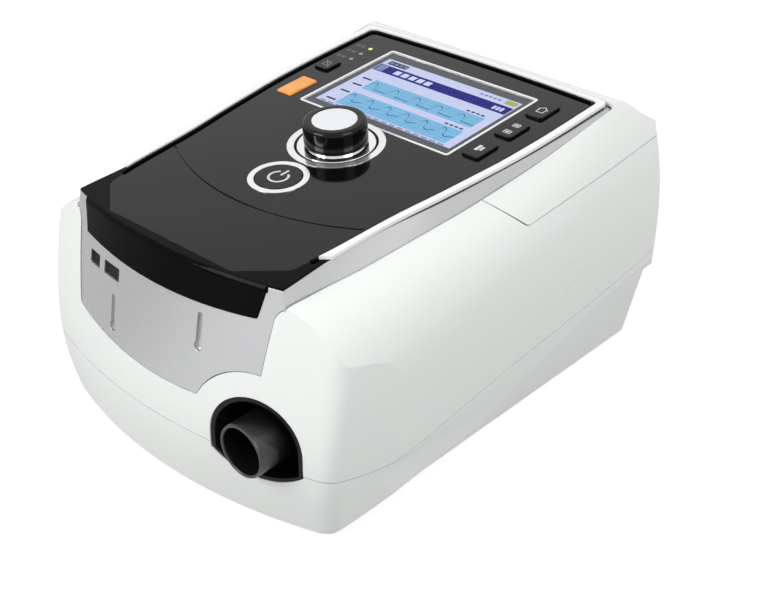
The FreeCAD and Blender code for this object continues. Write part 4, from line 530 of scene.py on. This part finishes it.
def addBar(bm, x, y, width, depth, low, high, turn=0.0, index=0):
    place = (Matrix.Translation((x * mm, y * mm, (low + high) / 2 * mm))
             @ Matrix.Rotation(math.radians(turn), 4, "Z")
             @ Matrix.Diagonal((width * mm, depth * mm, (high - low) * mm, 1)))
    made = bmesh.ops.create_cube(bm, size=1.0, matrix=place)
    for face in {f for v in made["verts"] for f in v.link_faces}:
        face.material_index = index


mergeReach = 1e-7  # metres


def addArc(bm, x, y, radius, width, start, sweep, low, high, steps):
    cut = bmesh.ops.create_grid(bm, x_segments=1, y_segments=1, size=0.5)  # the section
    verts = cut["verts"]
    bmesh.ops.scale(bm, vec=(width * mm, (high - low) * mm, 1), verts=verts)
    bmesh.ops.rotate(bm, cent=(0, 0, 0), matrix=Matrix.Rotation(math.pi / 2, 3, "X"),
                     verts=verts)
    bmesh.ops.translate(bm, vec=(radius * mm, 0, (low + high) / 2 * mm), verts=verts)
    bmesh.ops.rotate(bm, cent=(0, 0, 0), matrix=Matrix.Rotation(math.radians(start), 3, "Z"),
                     verts=verts)
    before = set(bm.verts) - set(verts)
    face = verts[0].link_faces[0]
    bmesh.ops.spin(bm, geom=[face, *face.edges, *verts], cent=(0, 0, 0), axis=(0, 0, 1),
                   angle=math.radians(sweep), steps=steps, use_merge=abs(sweep) >= 360)
    fresh = [v for v in bm.verts if v not in before]
    bmesh.ops.remove_doubles(bm, verts=fresh, dist=mergeReach)
    fresh = [v for v in bm.verts if v not in before]
    bmesh.ops.translate(bm, vec=(x * mm, y * mm, 0), verts=fresh)


def settle(bm, name, materials, body):
    bmesh.ops.recalc_face_normals(bm, faces=bm.faces)
    mesh = bpy.data.meshes.new(name)
    bm.to_mesh(mesh)
    bm.free()
    mesh.transform(panelPlace)
    for material in materials:
        mesh.materials.append(material)
    piece = bpy.data.objects.new(name, mesh)
    bpy.context.scene.collection.objects.link(piece)
    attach(piece, body)


glowSet = {"strength": 0.95, "dotScale": 3200, "dotShade": 0.05, "base": 0.1,
           "cloudScale": 800.0, "rough": 0.5, "roughSwing": 0.1}


def glowPaint(name, colour):
    material, tree, shader, coords = startMaterial(name)
    dots = tree.nodes.new("ShaderNodeTexChecker")  # the display's own dot pattern
    dots.inputs["Scale"].default_value = glowSet["dotScale"]
    dots.inputs["Color1"].default_value = (*colour, 1)
    dots.inputs["Color2"].default_value = (*[c * (1 - glowSet["dotShade"]) for c in colour], 1)
    plug(tree, coords, dots.inputs["Vector"])
    plug(tree, dots.outputs["Color"], shader["Emission Color"])
    shader["Emission Strength"].default_value = glowSet["strength"]
    shader["Base Color"].default_value = (*[c * glowSet["base"] for c in colour], 1)
    shader["Specular IOR Level"].default_value = 0.0
    cloud = noiseNode(tree, coords, glowSet["cloudScale"])
    varyRough(tree, shader, cloud, glowSet["roughSwing"], glowSet["rough"])
    return material


pictureColours = {
    "border": (0.105, 0.110, 0.120),
    "ground": (0.56, 0.60, 0.83),
    "title": (0.020, 0.016, 0.21),
    "plot": (0.19, 0.47, 0.72),
    "trace": (0.010, 0.06, 0.30),
    "mark": (0.035, 0.042, 0.09),
    "soft": (0.20, 0.26, 0.42),
    "charge": (0.36, 0.44, 0.10),
    "bright": (0.60, 0.66, 0.95),
}
pictureSet = {
    "ground": (37.6, 24.0),    # mm, half width and half height of the lit area
    "border": (40.6, 29.2),
    "layer": 0.03,
    "lift": 0.05,              # up to the floor of the lens seat
    "plotLayer": 2,
    "ruleLayer": 3,
    "plotFrom": -28.0,
    "plotTo": 33.2,
    "plots": (                 # front edge, rear edge, breaths, pressure or flow
        (37.6, 47.6, 5, "pressure"),
        (21.2, 33.4, 6, "flow"),
    ),
    "columns": 10,
    "rows": 4,
    "rule": 0.07,              # half width of a ruled line
    "label": (-34.6, 5.2, 1.2, (1.2, -2.2)),   # from, length, height, places at the edges
    "reading": (4, 22.0, 2.6, 1.8, 0.9, 1.1),  # count, from, pitch, length, gap, height
}
pictureBars = (  # count, from, pitch, length, front edge, rear edge, layer, paint
    (1, -37.2, 0.0, 74.4, 54.8, 61.4, 2, "title"),
    (1, -36.4, 0.0, 4.2, 55.4, 61.0, 3, "soft"),
    (5, -26.4, 4.4, 3.2, 56.3, 59.8, 3, "bright"),
    (3, 29.0, 2.0, 1.4, 56.4, 59.4, 3, "bright"),
    (1, -35.2, 0.0, 10.8, 62.6, 66.0, 2, "mark"),
    (4, -34.2, 2.6, 1.6, 63.5, 65.0, 3, "soft"),
    (1, 30.6, 0.0, 5.6, 63.0, 66.4, 2, "charge"),
    (1, 36.2, 0.0, 0.6, 64.0, 65.4, 2, "charge"),
    (5, 17.0, 2.4, 1.6, 63.8, 65.2, 2, "soft"),
    (16, -35.4, 4.4, 3.2, 19.5, 20.4, 2, "soft"),
)
traceSet = {
    "steps": 120,
    "swing": 0.36,             # of the plot's height
    "width": 0.60,
    "layer": 4,
    "inhale": 0.42,            # of one breath
    "fullness": 0.6,
    "dip": 0.75,
    "decay": 3,
    "pressure": (1.5, 0.75),   # height of the plateau and the line it starts from
}


def breathRise(phase, kind):
    inhale = traceSet["inhale"]
    if phase < inhale:
        rise = math.sin(phase / inhale * math.pi) ** traceSet["fullness"]
    else:
        rest = phase - inhale
        rise = (-traceSet["dip"] * math.sin(rest / (1 - inhale) * math.pi)
                * math.exp(-traceSet["decay"] * rest))
    if kind == "pressure":
        plateau, start = traceSet["pressure"]
        rise = plateau * max(0.0, rise) - start
    return rise


def makePicture():
    paints = [glowPaint("picture" + name.capitalize(), colour)
              for name, colour in pictureColours.items()]
    paintIndex = {name: index for index, name in enumerate(pictureColours)}
    centreX, centreY = panelCentre("screen_lens")
    layer = pictureSet["layer"]
    base = panelTop("lcd_module") + pictureSet["lift"]
    bm = bmesh.new()

    def bar(x, length, front, rear, level, paint):
        low = base + layer * level
        addBar(bm, centreX + x + length / 2, (front + rear) / 2, length, rear - front, low,
               low + layer, 0, paintIndex[paint])

    for level, paint in enumerate(("border", "ground")):
        halfX, halfY = pictureSet[paint]
        bar(-halfX, 2 * halfX, centreY - halfY, centreY + halfY, level, paint)
    for count, start, pitch, length, front, rear, level, paint in pictureBars:
        for step in range(count):
            bar(start + step * pitch, length, front, rear, level, paint)

    left = pictureSet["plotFrom"]
    width = pictureSet["plotTo"] - left
    rule = pictureSet["rule"]
    plotLayer, ruleLayer = pictureSet["plotLayer"], pictureSet["ruleLayer"]
    labelFrom, labelLength, labelHeight, labelPlaces = pictureSet["label"]
    count, start, pitch, length, gap, height = pictureSet["reading"]
    for front, rear, breaths, kind in pictureSet["plots"]:
        bar(left, width, front, rear, plotLayer, "plot")
        for row in range(1, pictureSet["rows"]):
            y = front + (rear - front) * row / pictureSet["rows"]
            bar(left, width, y - rule, y + rule, ruleLayer, "soft")
        for column in range(1, pictureSet["columns"]):
            x = left + width * column / pictureSet["columns"]
            bar(x - rule, 2 * rule, front, rear, ruleLayer, "soft")
        for edge, place in zip((front, rear), labelPlaces):
            y = edge + place
            bar(labelFrom, labelLength, y, y + labelHeight, plotLayer, "mark")
        for step in range(count):
            y = rear + gap
            bar(start + step * pitch, length, y, y + height, plotLayer, "mark")
        strip = bmesh.ops.create_grid(bm, x_segments=traceSet["steps"], y_segments=1, size=0.5)
        middle, swing = (front + rear) / 2, (rear - front) * traceSet["swing"]
        for v in strip["verts"]:
            along = v.co.x + 0.5
            rise = breathRise(along * breaths % 1.0, kind)
            v.co.x = (centreX + left + width * along) * mm
            v.co.y = (middle + swing * rise + v.co.y * traceSet["width"]) * mm
            v.co.z = (base + layer * traceSet["layer"]) * mm
            for face in v.link_faces:
                face.material_index = paintIndex["trace"]
    settle(bm, "screen_picture", paints, "casing")


inkFinish = {"rough": (0.40, 0.50), "grainScale": 6000, "grainDepth": 0.05, "edge": 0.02}
paleInk = moulded("paleInk", {**inkFinish, "colour": (0.62, 0.63, 0.63)})
dimInk = moulded("dimInk", {**inkFinish, "colour": (0.20, 0.20, 0.20)})

powerMark = {"radius": 4.0, "line": 1.0, "gap": 62, "steps": 40,   # mm and degrees
             "stroke": 4.6, "drop": 0.4, "sink": 0.02, "thick": 0.06}


def makePowerMark():
    x, y = panelCentre("power_button")
    low = panelTop("power_button") - powerMark["sink"]
    high = low + powerMark["thick"]
    radius, line, gap = powerMark["radius"], powerMark["line"], powerMark["gap"]
    bm = bmesh.new()
    addArc(bm, x, y, radius, line, 90 + gap / 2, 360 - gap, low, high, powerMark["steps"])
    addBar(bm, x, y + radius - powerMark["drop"], line, powerMark["stroke"], low, high)
    settle(bm, "power_mark", [paleInk], "power")


keyLine = 0.45
keySheet = ((0, 2.0, 3.4, keyLine), (0, 4.2, 3.4, keyLine), (-1.5, 3.1, keyLine, 2.6),
            (1.5, 3.1, keyLine, 2.6), (0, 3.1, 1.8, 0.9))
keyMark = {"sink": 0.02, "thick": 0.06, "bell": (0.3, 1.5, 14)}  # rise, radius, steps
keyBars = {  # x, y, width, depth, turn
    "key_lower": ((-0.9, 0, 1.6, 4.4, 0), (0.9, 0, 1.2, 3.0, 0)),  # a label with a cut
    "key_middle": [(x, side * y, width, depth, 0)                  # two sheets
                   for side in (-1, 1) for x, y, width, depth in keySheet],
    "key_upper": ((-1.6, -1.2, keyLine, 2.8, 0), (1.6, -1.2, keyLine, 2.8, 0),  # a house
                  (0, -2.6, 3.6, keyLine, 0), (-1.15, 1.1, keyLine, 3.2, -48),
                  (1.15, 1.1, keyLine, 3.2, 48)),
    "mute_key": ((-1.5, -0.8, keyLine, 2.2, 0), (1.5, -0.8, keyLine, 2.2, 0),   # a bell,
                 (0, -1.9, 4.2, keyLine, 0), (0, 0, keyLine, 6.6, 42)),         # struck out
}


def makeKeyMarks():
    for node, body, ink in (("key_lower", "key_a", paleInk), ("key_middle", "key_b", paleInk),
                            ("key_upper", "key_c", paleInk), ("mute_key", "mute", dimInk)):
        x, y = panelCentre(node)
        low = panelTop(node) - keyMark["sink"]
        high = low + keyMark["thick"]
        bm = bmesh.new()
        if node == "mute_key":
            rise, radius, steps = keyMark["bell"]
            addArc(bm, x, y + rise, radius, keyLine, 0, 180, low, high, steps)
        for offX, offY, width, depth, turn in keyBars[node]:
            addBar(bm, x + offX, y + offY, width, depth, low, high, turn)
        settle(bm, node + "_mark", [ink], body)


lampMark = {"reach": 4.6, "pitch": 6.4, "sink": 0.02, "thick": 0.05,
            "bars": ((0.5, 2.6, 0.35), (-0.5, 1.8, 0.35)),   # offset, length, height
            "ring": (2.9, 0.8, 0.3, 16)}                     # reach, radius, line, steps


def makeLampMarks():
    low = -lampMark["sink"]
    high = low + lampMark["thick"]
    ringReach, radius, line, steps = lampMark["ring"]
    bm = bmesh.new()
    x, middle = panelCentre("status_leds")
    x -= lampMark["reach"]
    for step in (-1, 0, 1):
        y = middle + step * lampMark["pitch"]
        for offset, length, height in lampMark["bars"]:
            addBar(bm, x, y + offset, length, height, low, high)
        addArc(bm, x - ringReach, y, radius, line, 0, 360, low, high, steps)
    settle(bm, "lamp_marks", [dimInk], "casing")


makePicture()
makePowerMark()
makeKeyMarks()
makeLampMarks()
print("panel marks made")

floorSet = {
    "size": 8.0,                # metres
    "colour": (0.22, 0.22, 0.22),
    "lift": 0.86,               # how far the paper shows white
    "fall": 0.55,               # what mirrors still see of it to the left of the front
    "fallFrom": -0.10,
    "fallTo": 0.07,
    "skew": 0.4,
    "cloudScale": 300.0, "rough": 0.8, "roughSwing": 0.1,
}


def makeFloor():
    bm = bmesh.new()
    bmesh.ops.create_grid(bm, x_segments=1, y_segments=1, size=floorSet["size"] / 2)
    mesh = bpy.data.meshes.new("floor")
    bm.to_mesh(mesh)
    bm.free()
    floor = bpy.data.objects.new("floor", mesh)
    bpy.context.scene.collection.objects.link(floor)
    material, tree, shader, coords = startMaterial("floorPaper")
    shader["Base Color"].default_value = (*floorSet["colour"], 1)
    shader["Specular IOR Level"].default_value = 0.0
    shader["Emission Color"].default_value = (1, 1, 1, 1)
    cloud = noiseNode(tree, coords, floorSet["cloudScale"])
    varyRough(tree, shader, cloud, floorSet["roughSwing"], floorSet["rough"])
    split = tree.nodes.new("ShaderNodeSeparateXYZ")
    plug(tree, coords, split.inputs[0])
    along = mathNode(tree, "SUBTRACT", split.outputs["X"],
                     mathNode(tree, "MULTIPLY", split.outputs["Y"], floorSet["skew"]))
    sweep = rampNode(tree, along, floorSet["fallFrom"], floorSet["fallTo"])
    sweep.interpolation_type = "SMOOTHSTEP"
    sweep.inputs["To Min"].default_value = floorSet["fall"]
    path = tree.nodes.new("ShaderNodeLightPath").outputs
    eye = mathNode(tree, "MAXIMUM", path["Is Camera Ray"], path["Is Transmission Ray"])
    mirrored = mathNode(tree, "MULTIPLY", path["Is Glossy Ray"], sweep.outputs[0])
    seen = mathNode(tree, "MAXIMUM", eye, mirrored)
    plug(tree, mathNode(tree, "MULTIPLY", seen, floorSet["lift"]), shader["Emission Strength"])
    mesh.materials.append(material)


worldSet = {"fill": 0.59, "seen": 1.0}


def makeWorld():
    world = bpy.data.worlds.new("studio")
    world.use_nodes = True
    tree = world.node_tree
    sky = tree.nodes["Background"].inputs
    sky["Color"].default_value = (1, 1, 1, 1)
    path = tree.nodes.new("ShaderNodeLightPath").outputs
    eye = mathNode(tree, "MAXIMUM", path["Is Camera Ray"], path["Is Glossy Ray"])
    seen = mathNode(tree, "MAXIMUM", eye, path["Is Transmission Ray"])
    span = worldSet["seen"] - worldSet["fill"]
    strength = mathNode(tree, "ADD", mathNode(tree, "MULTIPLY", seen, span), worldSet["fill"])
    plug(tree, strength, sky["Strength"])
    bpy.context.scene.world = world


lampSet = {  # place and size in metres, power in watts
    "keySoftbox": {"at": (-0.50, -1.40, 0.95), "size": (0.9, 0.9), "power": 17.5},
    "sideSoftbox": {"at": (1.25, -0.10, 1.05), "size": (0.8, 0.8), "power": 9.4},
}
lampAim = Vector((0, 0, 0.06))


def makeLamps():
    for name, lamp in lampSet.items():
        light = bpy.data.lights.new(name, "AREA")
        light.shape = "RECTANGLE"
        light.size, light.size_y = lamp["size"]
        light.energy = lamp["power"]
        holder = bpy.data.objects.new(name, light)
        holder.location = lamp["at"]
        holder.rotation_mode = "QUATERNION"
        holder.rotation_quaternion = (lampAim - Vector(lamp["at"])).to_track_quat("-Z", "Y")
        bpy.context.scene.collection.objects.link(holder)


cameraSet = {
    "place": (0.3602, -0.3755, 0.3512),
    "azimuth": 42.0693,
    "elevation": 31.5474,
    "roll": 0.1643,
    "lens": 65.05,
    "sensor": 36,
    "nearest": 0.01,   # metres
}


def makeCamera():
    view = bpy.data.cameras.new("mainView")
    view.lens = cameraSet["lens"]
    view.sensor_width = cameraSet["sensor"]
    view.clip_start = cameraSet["nearest"]
    pitch = math.radians(90 - cameraSet["elevation"])
    turn = (Euler((pitch, 0, math.radians(cameraSet["azimuth"]))).to_matrix()
            @ Matrix.Rotation(math.radians(cameraSet["roll"]), 3, "Z"))
    holder = bpy.data.objects.new("mainView", view)
    holder.matrix_world = Matrix.Translation(cameraSet["place"]) @ turn.to_4x4()
    bpy.context.scene.collection.objects.link(holder)
    bpy.context.scene.camera = holder


makeFloor()
makeWorld()
makeLamps()
makeCamera()
bpy.context.scene.view_settings.view_transform = "Standard"
print("stage, light and camera ready")
